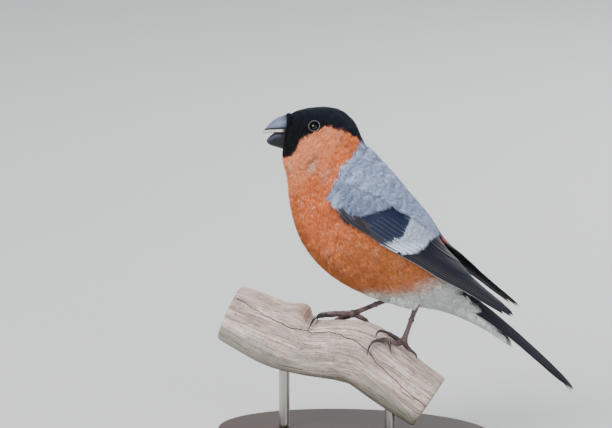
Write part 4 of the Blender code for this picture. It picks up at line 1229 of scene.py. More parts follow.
# %% The arm's ground
ARM = [  # distance along the wing, lower and upper edge, thickness
    (-2.4, 2.6, 6.5, 0.6),
    (2.0, 0.8, 11.0, 1.6),
    (9.0, 0.2, 14.5, 2.5),
    (17.0, 0.2, 15.6, 2.6),
    (26.0, 0.6, 15.8, 2.1),
    (35.0, 1.6, 15.0, 1.4),
    (42.0, 3.0, 12.0, 0.6),
]
ARM_ROWS, ARM_COLUMNS, GROUND_DEPTH, FRONT_DROP, FRONT_END = 60, 24, 0.35, 1.4, (-1.0, 3.0)
COVERT_GREY, LESSER_GREY = rgb(0.40, 0.48, 0.67), rgb(0.30, 0.37, 0.54)
SCAPULAR_GREY, WRIST_SPOT = rgb(0.41, 0.49, 0.69), rgb(0.60, 0.70, 0.84)
LESSER_TO_COVERT, COVERT_TO_SCAPULAR = (-48, -30), (-66, -52)
BROWN_ANGLES, BROWN_FROM, BROWN_TONE = (13, 24), (3.0, 7.0), 1.5
SPOT_AT, SPOT_LONG, SPOT_ANGLE, SPOT_WIDE, SPOT_SHARE = 2.6, 1.6, 19, 9, 0.8


def arm_height(u, across):
    """Height of the coverts' ground over the wing's underside: a low crowned form."""
    rows = np.array(ARM)
    low, high, thick = (np.interp(u, rows[:, 0], rows[:, k]) for k in (1, 2, 3))
    share = np.clip((across - low) / np.maximum(high - low, 1e-3), 0.0, 1.0)
    return thick * np.sin((0.06 + 0.88 * share) * np.pi) ** 0.6


def arm_point(u, across):
    return wing.point(u, across, arm_height(u, across))


def arm_colour(u, across):
    degrees = np.degrees(wing.angle(u, across))
    grey = blend(LESSER_GREY, COVERT_GREY, fade(-degrees, *LESSER_TO_COVERT))
    grey = blend(grey, SCAPULAR_GREY, fade(-degrees, *COVERT_TO_SCAPULAR))
    grey = blend(grey, WRIST_BROWN * BROWN_TONE, fade(degrees, *BROWN_ANGLES) * (1 - fade(u, *BROWN_FROM)))
    spot = hill(u, SPOT_AT, SPOT_LONG) * hill(degrees, SPOT_ANGLE, SPOT_WIDE)
    return blend(grey, WRIST_SPOT, SPOT_SHARE * spot)


def arm_ground(u, across):
    """The ground under the small coverts, which is dark where the black patch begins, and elsewhere is the
    coverts' grey darkened as painted shade between them.
    """
    degrees = np.degrees(wing.angle(u, across))
    start = line(PATCH_START, degrees)
    dark = (1 - fade(u, start - 2.0, start)) * fade(degrees, 56, 62)
    dark = np.maximum(dark, fade(degrees, 14, 20))
    return blend(arm_colour(u, across) * 0.7, PATCH_BLUE, dark)


arm = Surface(arm_point, 1.0, (0.05, 0.05))
if arm.frame(np.array([20.0]), np.array([8.0]))[3][0, 1] > 0:
    arm.sign = -1.0
rows = np.array(ARM)
u_arm = np.linspace(rows[0, 0], rows[-1, 0], ARM_ROWS)[:, None]
low, high = (np.interp(u_arm, rows[:, 0], rows[:, k]) for k in (1, 2))
across_arm = low + (high - low) * np.linspace(0, 1, ARM_COLUMNS)[None]
u_full = u_arm + 0 * across_arm
ground_height = arm_height(u_full, across_arm) - GROUND_DEPTH - FRONT_DROP * fade(u_full, *FRONT_END)
upper = wing.point(u_full, across_arm, ground_height)
under = wing.point(u_full, across_arm, np.minimum(-0.05, ground_height - 0.1))[:, ::-1]
points, faces = lidded(np.concatenate([upper, under], 1))
tone = arm_ground(u_full, across_arm)
tone = np.concatenate([tone, tone[:, ::-1]], 1).reshape(-1, 3)
tone = np.concatenate([tone, tone[:2]])
for side, mirror in (("left", 1), ("right", -1)):
    ground = made("arm_" + side, points * (1, mirror, 1), faces, PLUMAGE, attributes={"tint": tone})
    rides(outward(ground), "black_feather")

# %% [markdown]
# The small coverts stop where the black patch begins, and a second set of softer fans lies on the
# tips of the greater coverts, so that the whitish bar is downy as in life. Low at the bend they lie
# high enough to hide the roots of the alula, the wing's small thumb of stiff feathers.

# %% Coverts as fans
SMALL_COVERTS, BAR_FANS, PATCH_MARGIN, BAR_MARGIN = 1300, 560, 1.4, 2.0
WRIST_LINE = ((0, 5, 8, 11), (3, 4, 8, 18.5))
NEAR_WRIST, NEAR_EDGE = (9.0, 12.0), (3.0, 5.0)
ROW_TONE, ARM_CLUMP_TONE = 0.14, 0.14


def grey_coverts(u, across):
    degrees = np.degrees(wing.angle(u, across))
    return (u < line(PATCH_START, degrees) - PATCH_MARGIN) & (degrees > np.interp(u, *WRIST_LINE))


def pale_bar(u, across):
    degrees = np.degrees(wing.angle(u, across))
    inside = (u > line(PATCH_END, degrees) - BAR_MARGIN) & (u < line(BAR_END, degrees) - BAR_MARGIN)
    return inside & (degrees > 14)


def scalloped(u, across):
    """Rows of covert tips catch the light, so the tone waves from row to row."""
    wave = np.sin(u * 2.1 + 0.8 * np.sin(across * 1.5))
    return 1 + ROW_TONE * wave + ARM_CLUMP_TONE * clumps(u / 40, across / 30)


def near_wrist(u, across):
    """High on the lower front edge, where the small coverts lie over the roots of the alula."""
    return fade(u, *NEAR_WRIST) * fade(across, *NEAR_EDGE)


def wing_uv(u, across, start=0.05, span=40):
    return 0.05 + u / 50, start + across / span


coat = Coat(SEED + 50)
dice = coat.dice
u, across = scattered(arm, (-2.2, 0.3), (38.0, 16.5), SMALL_COVERTS, dice, grey_coverts)
colour = arm_colour(u + 1.5, across) * scalloped(u, across)[:, None]
turn = 0.25 * flow(u / 40, across / 30) + dice.normal(0.0, 0.12, len(u))
coat.fans(arm, u, across, 2.3 + 0.03 * u, 0.21, colour, 9, turn=turn, fan=1.5, root=-0.5,
          middle=0.05 + 0.9 * near_wrist(u, across), tip=0.25 + 0.7 * near_wrist(u, across),
          uv=wing_uv(u, across))
u, across = scattered(arm, (22.0, 0.6), (40.0, 16.5), BAR_FANS, dice, pale_bar)
share = np.degrees(wing.angle(u, across)) / 75 + dice.uniform(-0.3, 0.2, len(u))
colour = blend(BAR_PALE, BAR_GREY, np.clip(share, 0, 1))
coat.fans(arm, u, across, 2.6, 0.18, colour, 10, turn=dice.normal(0, 0.14, len(u)), fan=1.6,
          root=0.0, middle=0.7, tip=0.65, uv=wing_uv(u, across))
for side, mirror in (("left", False), ("right", True)):
    coat.pieces("coat_wing_" + side, PLUMAGE, "black_feather", mirror)

# %% [markdown]
# ## Scapulars
# The scapulars are longer feathers of the shoulder. They lie over the wing's upper margin from above
# it down to the back, so that wing and back are one slope.

# %% Scapulars
SCAPULARS, SCAPULAR_REACH, SCAPULAR_TOP, SCAPULAR_LOW = 860, 37.0, 92, 0.4
SCAPULAR_EDGE = [(0, 48), (20, 54), (27, 60), (33, 70), (38, 80)]
SHOULDER_HEIGHT, SHOULDER_END = 2.3, (14, 20)
scapulars = Coat(SEED + 60)
dice = scapulars.dice
u = dice.uniform(0.0, SCAPULAR_REACH, SCAPULARS)
low_angle = line(SCAPULAR_EDGE, u)
high_share = dice.uniform(0, 1, SCAPULARS) ** 1.2
across = wing.across(u, np.radians(low_angle + (SCAPULAR_TOP - low_angle) * high_share))


def scapular_point(u, across):
    """Over the wing's upper slope: above the coverts' ground at first, then down to the back."""
    top, thick = (np.interp(u, rows[:, 0], rows[:, k]) for k in (2, 3))
    past = np.clip((across - top + 2.0) / 6.0, 0, 1)
    high = np.maximum(thick, SHOULDER_HEIGHT * (1 - fade(u, *SHOULDER_END)))
    return wing.point(u, across, high * (1 - past) + SCAPULAR_LOW * past)


slope = Surface(scapular_point, arm.sign, (0.05, 0.05))
colour = SCAPULAR_GREY * scalloped(u * 0.6, across)[:, None]
turn = -0.1 + 0.2 * flow(u / 40, across / 30) + dice.normal(0.0, 0.1, SCAPULARS)
scapulars.fans(slope, u, across, 4.2, 0.25, colour, 10, turn=turn, fan=2.2, root=-0.6, middle=0.15,
               tip=0.25, uv=wing_uv(u, across, 0.5, 60))
for side, mirror in (("left", False), ("right", True)):
    scapulars.pieces("scapulars_" + side, PLUMAGE, "black_feather", mirror)

# %% [markdown]
# ## The tail
# Twelve feathers lie in a narrow stack, the middle pair on top. From the side their edges show as
# fine parallel lines.

# %% Tail feathers
TAIL_ROOT, TAIL_TIP, TAIL_ARCH = np.array((40.0, 56.6)), np.array((82.6, 19.8)), 4.4
TAIL_HALF_WIDTH, TAIL_DROP = (4.9, 6.3), (4.8, 1.1)
TAIL_PAIRS, TAIL_VANE_WIDTH, TAIL_TILT, TAIL_CLOSE = 6, 4.2, 0.30, 0.74
TAIL_TIPS, TAIL_SIDE_STEP = [0.955, 0.97, 0.985, 1.0, 1.0, 0.98], 0.25
TAIL_RIM, TAIL_UNEVEN, TAIL_HUES = 0.12, 0.2, (0.8, 1.3)


def tail_point(along, across, height):
    """A point over the tail's roof, whose sides hang lower towards its root."""
    along, across, height = np.broadcast_arrays(*(np.asarray(v, float) for v in (along, across, height)))
    chord = TAIL_TIP - TAIL_ROOT
    t = along / np.linalg.norm(chord)
    ahead = unit(chord)
    up = np.array((-ahead[1], ahead[0]))
    half = TAIL_HALF_WIDTH[0] + (TAIL_HALF_WIDTH[1] - TAIL_HALF_WIDTH[0]) * t
    drop = TAIL_DROP[0] + (TAIL_DROP[1] - TAIL_DROP[0]) * t
    rise = TAIL_ARCH * t * (1 - t) - drop * (np.abs(across) / half) ** 1.5 + height
    place = TAIL_ROOT + along[..., None] * ahead + rise[..., None] * up
    return np.stack([place[..., 0], across, place[..., 1]], -1)


plume = Plume()
tail_length = np.linalg.norm(TAIL_TIP - TAIL_ROOT)
for pair in range(TAIL_PAIRS):
    f = (pair + 1) / TAIL_PAIRS
    for side in (-1, 1):
        def place(along, across, height, side=side):
            return tail_point(along, -side * across, height)

        start = (0.4 * pair, -TAIL_HALF_WIDTH[0] * f)
        reach = tail_length * TAIL_TIPS[pair] + vary.uniform(-TAIL_UNEVEN, TAIL_UNEVEN)
        tip = (reach, -TAIL_HALF_WIDTH[1] * TAIL_CLOSE * f)
        lift = TAIL_TILT * TAIL_VANE_WIDTH
        low = -lift + 0.25 + (TAIL_SIDE_STEP if side < 0 else 0.0)
        hue = FLIGHT * vary.uniform(*TAIL_HUES)
        plume.add(place, start, tip, TAIL_VANE_WIDTH, lift, low, hue, TAIL_RIM,
                  notch=vary.uniform(-1, 1, VANE_ROWS), rounding=12.0, sweep=0.2)
rides(plume.piece("feathers_tail", QUILL), "black_feather", "tail")

# %% [markdown]
# ## Bill
# A bullfinch's bill is short, deep and swollen. Horn is smooth, a little glossy and nearly black. The
# blue-grey above is a painted reflection of the sky, and the pale cutting edge is a lighter edge with a
# painted highlight on it. The halves are lofted through a few sections, and the colours follow their
# height in the head's own, unturned frame.

# %% Bill
UPPER_BILL = [  # x, top, bottom, half width
    (-25.0, 120.2, 114.0, 4.3),
    (-27.4, 119.5, 113.9, 3.9),
    (-29.8, 118.4, 113.8, 3.2),
    (-31.9, 116.7, 113.7, 2.3),
    (-33.5, 114.9, 113.4, 1.2),
    (-34.2, 113.9, 113.1, 0.35),
]
LOWER_BILL = [
    (-25.4, 113.0, 106.8, 4.0),
    (-27.6, 113.3, 107.3, 3.7),
    (-29.6, 113.1, 107.9, 3.1),
    (-31.3, 112.1, 108.4, 2.3),
    (-32.5, 111.1, 109.0, 1.3),
    (-33.1, 110.4, 109.8, 0.35),
]
BILL_ROWS, INNER_ARCH = 48, 0.9
# The blue-grey is a painted reflection of the sky on the black horn. The pale colour is a lighter cutting
# edge with a painted highlight.
HORN_SKY_SHEEN, HORN_BLACK = rgb(0.145, 0.18, 0.26), rgb(0.008, 0.009, 0.013)
HORN_PALE_EDGE_GLINT = rgb(0.62, 0.58, 0.50)


def bill_section(rows, pull, t):
    """One ring of a half: over the ridge, down the side wall to the cutting edge and back inside."""
    x, top, bottom, half = through(rows, t)
    outer, inner = np.linspace(0, np.pi / 2, 18), np.linspace(np.pi / 2, np.pi, 9)[1:]
    wall = np.linspace(0, 1, 14)[1:]
    edge = bottom if pull > 0 else top
    middle, rise = (top + bottom) / 2, (top - bottom) / 2 * np.sign(pull)
    y = np.concatenate([half * np.sin(outer), half * (1 - 0.1 * wall**2), 0.9 * half * np.sin(inner)])
    inside = edge + pull * np.cos(inner) ** 2 * half / rows[0][3]
    z = np.concatenate([middle + rise * np.cos(outer), middle + (edge - middle) * wall, inside])
    ring = np.stack([np.full(len(y), x), y, z], -1)
    return np.concatenate([ring, (ring * (1, -1, 1))[-2:0:-1]]), edge


def bill(name, rows, pull, node):
    """One half as a closed piece: a painted blue reflection above, a pale cutting edge with a painted
    highlight, black inside and at the root.
    """
    knots = np.linspace(0, len(rows) - 1, BILL_ROWS)
    rings, edges = zip(*(bill_section(rows, pull, t) for t in knots))
    rings, share = np.array(rings), (knots / knots[-1])[:, None]
    height = np.abs(rings[..., 2] - np.array(edges)[:, None])
    inner = np.abs(rings[..., 1]) < 0.84 * np.abs(rings[..., 1]).max(1, keepdims=True)
    inner = inner & (height < 1.0)
    if pull > 0:
        edge = 1.05 - 0.5 * share
        tone = blend(HORN_BLACK, HORN_SKY_SHEEN, 1 - fade(height, 1.9 * edge, 2.7 * edge))
        pale = (1 - fade(height, 0.2 * edge, 0.4 * edge)) * fade(height, 1.25 * edge, 1.6 * edge)
        pale = pale * (1 - fade(share, 0.10, 0.22)) * fade(share, 0.93, 1.0) * ~inner
        tone = blend(tone, HORN_PALE_EDGE_GLINT, pale) * (1 - 0.6 * fade(share, 0.0, 0.3))[..., None]
    else:
        # On the lower half too, the blue near the top edge is a painted reflection of the sky.
        sky_glint = fade(height, 0.7, 1.7) * (1 - fade(share, 0.1, 0.4)) * fade(share, 0.8, 1.0)
        tone = blend(HORN_BLACK, HORN_SKY_SHEEN * 0.28, sky_glint)
    tone = np.concatenate([tone.reshape(-1, 3), np.tile(HORN_BLACK, (2, 1))])
    return rides(closed_piece(name, turned(rings), HORN, {"tint": tone}), "bill_horn", node)


horn = Recipe("horn")
mottle = horn.noise(horn.place(), 700.0, 4.0)
HORN = horn.finish(
    Base_Color=horn.tinted(horn.attribute("tint", "Color"), mottle * 0.5 + 0.75),
    Roughness=0.36 + mottle * 0.2,
    Specular_IOR_Level=0.28,
    Normal=horn.bump(mottle, 0.3, 0.00006),
)
bill("bill_upper_horn", UPPER_BILL, INNER_ARCH, "bill_upper")
bill("bill_lower_horn", LOWER_BILL, -INNER_ARCH, "bill_lower")

# %% [markdown]
# ## Mouth corner and nostril bristles
# Between the two halves a dark red skin closes the corner of the mouth. Short black bristles at the
# bill's root point forward and hide the nostrils.

# %% Mouth and bristles
GAPE = [(-24.2, 113.6, 4.9), (-25.6, 113.6, 4.4), (-26.8, 113.6, 3.7)]  # x, z, half width
GAPE_HEIGHT, GAPE_SIDES = 0.75, 20
flesh = Recipe("mouth_flesh")
FLESH = flesh.finish(Base_Color=(0.10, 0.018, 0.02, 1.0), Roughness=0.35)
rings = []
for x, z, half in GAPE:
    angle = whole_turn(GAPE_SIDES)
    ring = np.stack([x + 0 * angle, half * np.cos(angle), z + GAPE_HEIGHT * np.sin(angle)], -1)
    rings.append(turned(ring))
rides(closed_piece("mouth_corner", rings, FLESH), "bill_horn")

RIDGE_ANGLE, WALL_ANGLE, FACE_BRISTLES = 1.2, 1.0, 420


def past_root(rows, pull):
    """The outside of one half of the bill, drawn on straight past its root into the face."""

    def outside(t, angle):
        x, top, bottom, half = np.moveaxis(through(rows, t), -1, 0)
        middle, rise = (top + bottom) / 2, (top - bottom) / 2 * np.sign(pull)
        turn = np.clip(np.abs(angle) / RIDGE_ANGLE, 0, 1) * np.pi / 2
        wall = np.clip((np.abs(angle) - RIDGE_ANGLE) / WALL_ANGLE, 0, 1)
        y = np.sign(angle) * half * np.sin(turn) * (1 - 0.1 * wall**2)
        z = middle + rise * np.cos(turn) - rise * wall
        return turned(np.stack([x, y, z], -1))

    def point(t, angle):
        root, step = (outside(k + 0 * t, angle) for k in (0.0, 0.1))
        return outside(np.maximum(t, 0), angle) + (step - root) * np.minimum(t, 0)[..., None] * 10

    return point


BRISTLES = [  # bill half, half width of the angle, fans, roots from and to, longest
    (UPPER_BILL, INNER_ARCH, 1.85, 380, (-0.35, 0.06), 1.15),
    (LOWER_BILL, -INNER_ARCH, 1.5, 240, (-0.20, 0.12), 0.9),
]
bristles = Coat(SEED + 70)
dice = bristles.dice
for half_rows, pull, half_angle, count, roots, longest in BRISTLES:
    face = Surface(past_root(half_rows, pull), 1.0)
    if face.frame(np.array([0.5]), np.array([0.1]))[3][0, 2] * pull < 0:
        face.sign = -1.0
    t, angle = dice.uniform(*roots, count), dice.uniform(-half_angle, half_angle, count)
    length = dice.uniform(0.5, 1.0, count) * longest * (1 - 0.3 * np.abs(angle) / half_angle)
    bristles.fans(face, t, angle, length, 0.11, np.tile(BLACK, (count, 1)), 7,
                  turn=dice.normal(0, 0.2, count), spread=0.35, fan=0.7,
                  root=-0.1, middle=0.22, tip=0.14, uv=(0.06 + t / 50, 0.5 + angle / 7))
s, angle = dice.uniform(-0.05, 0.3, FACE_BRISTLES), dice.uniform(0, TAU, FACE_BRISTLES)
length, colour = dice.uniform(0.5, 0.95, FACE_BRISTLES), np.tile(BLACK, (FACE_BRISTLES, 1))
bristles.fans(body, s, angle, length, 0.11, colour, 7,
              turn=np.pi + dice.normal(0, 0.25, FACE_BRISTLES), spread=0.35, fan=0.8,
              root=-0.2, middle=0.1, tip=-0.1, uv=body_uv(s, angle))
bristles.pieces("bristles", PLUMAGE, "black_feather")

# %% [markdown]
# ## Eyes and their rings
# The eye is a wet, nearly black ball. A ring of tiny pale scales runs round it, which Geometry Nodes
# strings as beads on a circle. The same tree later lays the scutes along the toes.

# %% Eyeballs
glass = Recipe("eye")
spin = glass.noise(glass.place(), 1500.0, 2.0)
EYE = glass.finish(
    Base_Color=glass.mix(spin, (0.0008, 0.0006, 0.0006), (0.003, 0.002, 0.0015)),
    Roughness=0.04,
    Specular_IOR_Level=0.3,
)
EYE_SEGMENTS, EYE_INSET = (40, 28), 0.1


def round_ball(name, segments, radius, place=(0.0, 0.0, 0.0)):
    """A ball, kept out of the scene until it is linked."""
    bm = bmesh.new()
    bmesh.ops.create_uvsphere(bm, u_segments=segments[0], v_segments=segments[1], radius=radius)
    bmesh.ops.translate(bm, vec=Vector(place), verts=bm.verts)
    mesh = bpy.data.meshes.new(name)
    bm.to_mesh(mesh)
    bm.free()
    return bpy.data.objects.new(name, mesh)


for side, (centre, facing) in eyes.items():
    place = (centre + (0, 0, BASE_THICKNESS)) * MM
    ball = round_ball("eyeball_" + side, EYE_SEGMENTS, (EYE_RADIUS - EYE_INSET) * MM, place)
    ball.data.shade_smooth()
    bpy.context.scene.collection.objects.link(ball)
    ball.data.materials.append(EYE)
    rides(ball, "eye", "eye_" + side)

# %% [markdown]
# Scales on skin are beads on a line. A Geometry Nodes tree puts one bead on every point of a curve,
# turns it with the curve and takes its size from a number on the path. Placing them by hand, or with
# an array modifier, would be as good for a few beads, but here twelve paths share one tree.

# %% Beads strung along a path
BEAD_SOCKETS = {
    "Geometry": "Geometry", "Bead": "Object", "Count": "Int", "Size": "Vector", "Paint": "Material",
}
BEAD_NODES = {
    "entry": "NodeGroupInput",
    "curve": "GeometryNodeMeshToCurve",
    "dots": "GeometryNodeCurveToPoints",
    "bead": "GeometryNodeObjectInfo",
    "own": "GeometryNodeInputNamedAttribute",
    "sized": "ShaderNodeVectorMath",
    "copies": "GeometryNodeInstanceOnPoints",
    "real": "GeometryNodeRealizeInstances",
    "painted": "GeometryNodeSetMaterial",
    "leave": "NodeGroupOutput",
}
BEAD_LINKS = [  # a node and its output, the next node and its input
    ("entry", "Geometry", "curve", "Mesh"),
    ("curve", "Curve", "dots", "Curve"),
    ("entry", "Count", "dots", "Count"),
    ("entry", "Bead", "bead", "Object"),
    ("dots", "Points", "copies", "Points"),
    ("bead", "Geometry", "copies", "Instance"),
    ("dots", "Rotation", "copies", "Rotation"),
    ("entry", "Size", "sized", 0),
    ("own", "Attribute", "sized", "Scale"),
    ("sized", "Vector", "copies", "Scale"),
    ("copies", "Instances", "real", "Geometry"),
    ("real", "Geometry", "painted", "Geometry"),
    ("entry", "Paint", "painted", "Material"),
    ("painted", "Geometry", "leave", "Geometry"),
]


def stringing_tree():
    """Copies a bead along a curve, turned with it and sized by a number, as real mesh."""
    tree = bpy.data.node_groups.new("strung_beads", "GeometryNodeTree")
    for name, kind in BEAD_SOCKETS.items():
        tree.interface.new_socket(name, in_out="INPUT", socket_type="NodeSocket" + kind)
    tree.interface.new_socket("Geometry", in_out="OUTPUT", socket_type="NodeSocketGeometry")
    nodes = {key: tree.nodes.new(kind) for key, kind in BEAD_NODES.items()}
    nodes["sized"].operation = "SCALE"
    nodes["own"].data_type = "FLOAT"
    nodes["own"].inputs["Name"].default_value = "size"
    for first, output, second, socket in BEAD_LINKS:
        tree.links.new(nodes[first].outputs[output], nodes[second].inputs[socket])
    return tree


STRUNG = stringing_tree()
BEAD = round_ball("bead", (10, 7), 0.5)


def strung(name, path, sizes, bead, count, size, material, closed=False):
    """A plain mesh of beads along a path in millimetres."""
    mesh = bpy.data.meshes.new(name + "_path")
    edges = [(k, k + 1) for k in range(len(path) - 1)] + ([(len(path) - 1, 0)] if closed else [])
    mesh.from_pydata([tuple((p + (0, 0, BASE_THICKNESS)) * MM) for p in np.asarray(path)], edges, [])
    mesh.attributes.new("size", "FLOAT", "POINT").data.foreach_set("value", np.asarray(sizes, np.float32))
    holder = bpy.data.objects.new(name, mesh)
    bpy.context.scene.collection.objects.link(holder)
    maker = holder.modifiers.new("beads", "NODES")
    maker.node_group = STRUNG
    wanted = {"Bead": bead, "Count": count, "Size": Vector(size) * MM, "Paint": material}
    for item in STRUNG.interface.items_tree:
        if item.in_out == "INPUT" and item.name in wanted:
            maker[item.identifier] = wanted[item.name]
    graph = bpy.context.evaluated_depsgraph_get()
    plain = bpy.data.meshes.new_from_object(holder.evaluated_get(graph))
    holder.modifiers.clear()
    holder.data = plain
    plain.shade_smooth()
    return holder


print("nodes in the bead tree:", len(STRUNG.nodes))

# %% [markdown]
# The lid is a soft black roll round the ball, turned from a short profile: distances from the eye's
# axis with heights along it. On it lies the ring of pale scales.

# %% Lids
LID = [  # distance from the axis, height
    (2.7, 0.3), (2.5, 0.9), (2.32, 1.35), (2.2, 1.6), (2.08, 1.7), (1.96, 1.67), (1.87, 1.56),
    (1.80, 1.38), (1.74, 1.08),
]
LID_SIDES, LID_BEADS, LID_RING = 96, 42, (2.05, 1.70)
LID_THICKNESS, LID_DEPTH, LID_BEAD_SIZE, LID_BEAD_RANGE = 0.1, 0.25, (0.20, 0.20, 0.36), (0.75, 1.15)
lid = Recipe("lid")
wrinkle = lid.noise(lid.place(), 1300.0, 3.0)
LID_SKIN = lid.finish(
    Base_Color=lid.mix(wrinkle, (0.003, 0.003, 0.004), (0.014, 0.014, 0.017)),
    Roughness=0.6,
    Specular_IOR_Level=0.15,
    Normal=lid.bump(wrinkle, 0.6, 0.0001),
)
rim_recipe = Recipe("lid_rim")
speckle = rim_recipe.noise(rim_recipe.place(), 1500.0)
RIM_SKIN = rim_recipe.finish(
    Base_Color=rim_recipe.mix(speckle, (0.05, 0.053, 0.06), (0.40, 0.42, 0.46)),
    Roughness=0.6,
)
for side, (centre, facing) in eyes.items():
    across = unit(np.cross(facing, (0.0, 0.0, 1.0)))
    up = np.cross(across, facing)
    turns = whole_turn(LID_SIDES)[:, None]
    spokes = np.cos(turns) * across + np.sin(turns) * up
    ripple = 1 + 0.012 * np.sin(turns * 21) + 0.01 * np.sin(turns * 8 + 1)
    rings = [centre + radius * ripple * spokes + height * facing for radius, height in LID]
    for radius, height in LID[::-1]:
        rings.append(centre + (radius - LID_THICKNESS) * spokes + (height - LID_DEPTH) * facing)
    loop = np.array(rings)
    closed = np.concatenate([loop, loop[:1]])
    faces = lattice(len(closed), LID_SIDES) % (len(loop) * LID_SIDES)
    rides(outward(made("lid_" + side, loop, faces, LID_SKIN)), "leg_skin")
    ring = centre + LID_RING[0] * spokes + LID_RING[1] * facing
    sizes = np.random.default_rng(SEED + 90).uniform(*LID_BEAD_RANGE, LID_SIDES)
    beads = strung("lid_ring_" + side, ring, sizes, BEAD, LID_BEADS, LID_BEAD_SIZE, RIM_SKIN, True)
    rides(beads, "leg_skin")

# %% [markdown]
# ## The branch's form
# The toes have to lie on the branch, so its form comes before them: a centre line with radii, and a
# low collar where a side twig once grew. A toe's joint is then a distance along the branch, an angle
# round it and a height over it.

# %% Branch surface
BRANCH = [  # x, y, z, radius
    (-48.0, 1.0, 43.0, 10.6),
    (-40.0, 0.8, 39.7, 11.5),
    (-32.0, 0.6, 36.4, 12.3),
    (-26.0, 0.5, 34.3, 12.5),
    (-21.0, 0.4, 32.2, 11.6),
    (-16.5, 0.3, 30.9, 10.9),
    (-11.0, 0.2, 30.7, 11.3),
    (-4.0, 0.0, 30.5, 11.8),
    (4.0, -0.8, 29.2, 12.3),
    (12.0, -1.6, 23.7, 11.6),
    (20.0, -1.8, 18.0, 10.9),
    (28.5, -2.0, 12.6, 10.5),
]
COLLAR_X, COLLAR_LENGTH, COLLAR_RISE, COLLAR_SPREAD = -24.2, 3.2, 2.6, 0.6


def branch_frame(x):
    columns = np.asarray(BRANCH)
    knots = np.interp(x, columns[:, 0], np.arange(len(BRANCH)))
    ahead = through(BRANCH, knots + 0.05)[..., :3] - through(BRANCH, knots - 0.05)[..., :3]
    row = through(BRANCH, knots)
    along = unit(ahead)
    up = unit(np.array((0.0, 0.0, 1.0)) - along * along[..., 2:3])
    return row[..., :3], along, up, np.cross(along, up), row[..., 3]


def branch_point(x, degrees, height=0.0):
    """A point over the branch, whose angles start at its top."""
    x, degrees, height = np.broadcast_arrays(*(np.asarray(v, float) for v in (x, degrees, height)))
    middle, _, up, left, radius = branch_frame(x)
    angle = np.radians(degrees)
    around = np.mod(angle + np.pi, TAU) - np.pi
    collar = hill(x, COLLAR_X, COLLAR_LENGTH) * hill(around, 0, COLLAR_SPREAD)
    swell = 0.03 * np.sin(2 * angle + 0.09 * x) + 0.02 * np.sin(3 * angle - 0.05 * x)
    reach = (radius * (1 + swell) + COLLAR_RISE * collar + height)[..., None]
    return middle + reach * (np.cos(angle)[..., None] * up + np.sin(angle)[..., None] * left)


print("top of the branch at the middle:", np.round(branch_point(0.0, 0.0), 1))

# %% [markdown]
# ## Legs, feet and claws
# A finch's leg is bone and sinew in scaled skin. Bars through a few points give tarsus and toes, with
# pads under the joints. Over them lie the scutes, as overlapping plates strung by the same tree. The
# claws are dark, curved horn.

# %% Legs
TARSUS_RADII = (1.25, 0.95, 0.9, 0.95, 1.3)
BALL_RADIUS, TOE_RADII, CLAW_RADII = 1.55, (1.2, 0.95, 0.85, 0.75), (0.6, 0.52, 0.36, 0.1)
CUFF_AT, CUFF_STEPS, CUFF_RADII = 0.44, (-0.45, -0.3, 0.0, 0.3, 0.45), (0.9, 1.12, 1.22, 1.12, 0.9)
PATH_ROWS, TOE_END, SHIN_FRONT = 30, 26, np.array((-0.7, -0.3, 0.6))
SCUTE_STEP, SCUTE_LEAST, SCUTE_SIZE, SCUTE_HEIGHT = 0.75, 4, (1.16, 1.16, 0.95), 0.5
TOES = {  # joints and then points of the claw: along the branch, round it, over it
    "left": {
        "inner": [(9.4, 11, 1.8), (6.2, 16, 1.5), (5.2, 23, 1.8), (4.8, 30, 1.5), (5.0, 36, 0.5)],
        "middle": [(9.6, 22, 1.8), (7.0, 31, 1.6), (5.6, 42, 1.4),
                   (5.1, 49, 1.6), (5.1, 58, 1.4), (5.7, 70, 0.5)],
        "outer": [(9.6, 21, 1.8), (8.2, 27, 1.5), (8.0, 31, 1.8), (8.8, 36, 1.5), (10.2, 41, 0.5)],
        "hind": [(12.8, 11, 1.6), (14.2, 10, 1.4), (15.3, 10, 1.5), (16.4, 10, 1.3), (17.2, 11, 0.5)],
    },
    "right": {
        "inner": [(-6.4, -5, 2.4), (-11.2, -1, 2.6), (-13.0, 0, 2.4), (-14.2, 5, 1.8), (-13.9, 12, 0.5)],
        "middle": [(-6.8, -12, 2.0), (-12.0, -7, 1.7), (-15.6, 4, 1.5),
                   (-17.2, 15, 1.9), (-18.4, 30, 1.6), (-18.8, 46, 0.5)],
        "outer": [(-5.0, -26, 1.7), (-8.0, -38, 1.4), (-10.0, -50, 1.3),
                  (-11.4, -58, 1.5), (-11.8, -67, 1.3), (-11.0, -75, 0.5)],
        "hind": [(0.2, -30, 1.6), (1.0, -42, 1.4), (1.4, -50, 1.5), (1.6, -58, 1.3), (1.4, -64, 0.5)],
    },
}
CLAW_POINTS = 3
leg = Recipe("leg_skin")
blotch = leg.noise(leg.place(), 260.0, 4.0)
fine = leg.noise(leg.place(), 2200.0, 2.0)
blotched = leg.mix(leg.smooth(blotch, 0.35, 0.68), (0.035, 0.022, 0.026), (0.15, 0.092, 0.088))
LEG_SKIN = leg.finish(
    Base_Color=leg.tinted(blotched, fine * 0.6 + 0.7),
    Roughness=0.42 + fine * 0.2,
    Normal=leg.bump(fine, 0.5, 0.00008),
)
claw_horn = Recipe("claw_horn")
cloud = claw_horn.noise(claw_horn.place(), 500.0)
CLAW = claw_horn.finish(
    Base_Color=claw_horn.mix(cloud, (0.012, 0.010, 0.012), (0.04, 0.034, 0.036)),
    Roughness=0.3,
    Coat_Weight=0.3,
)

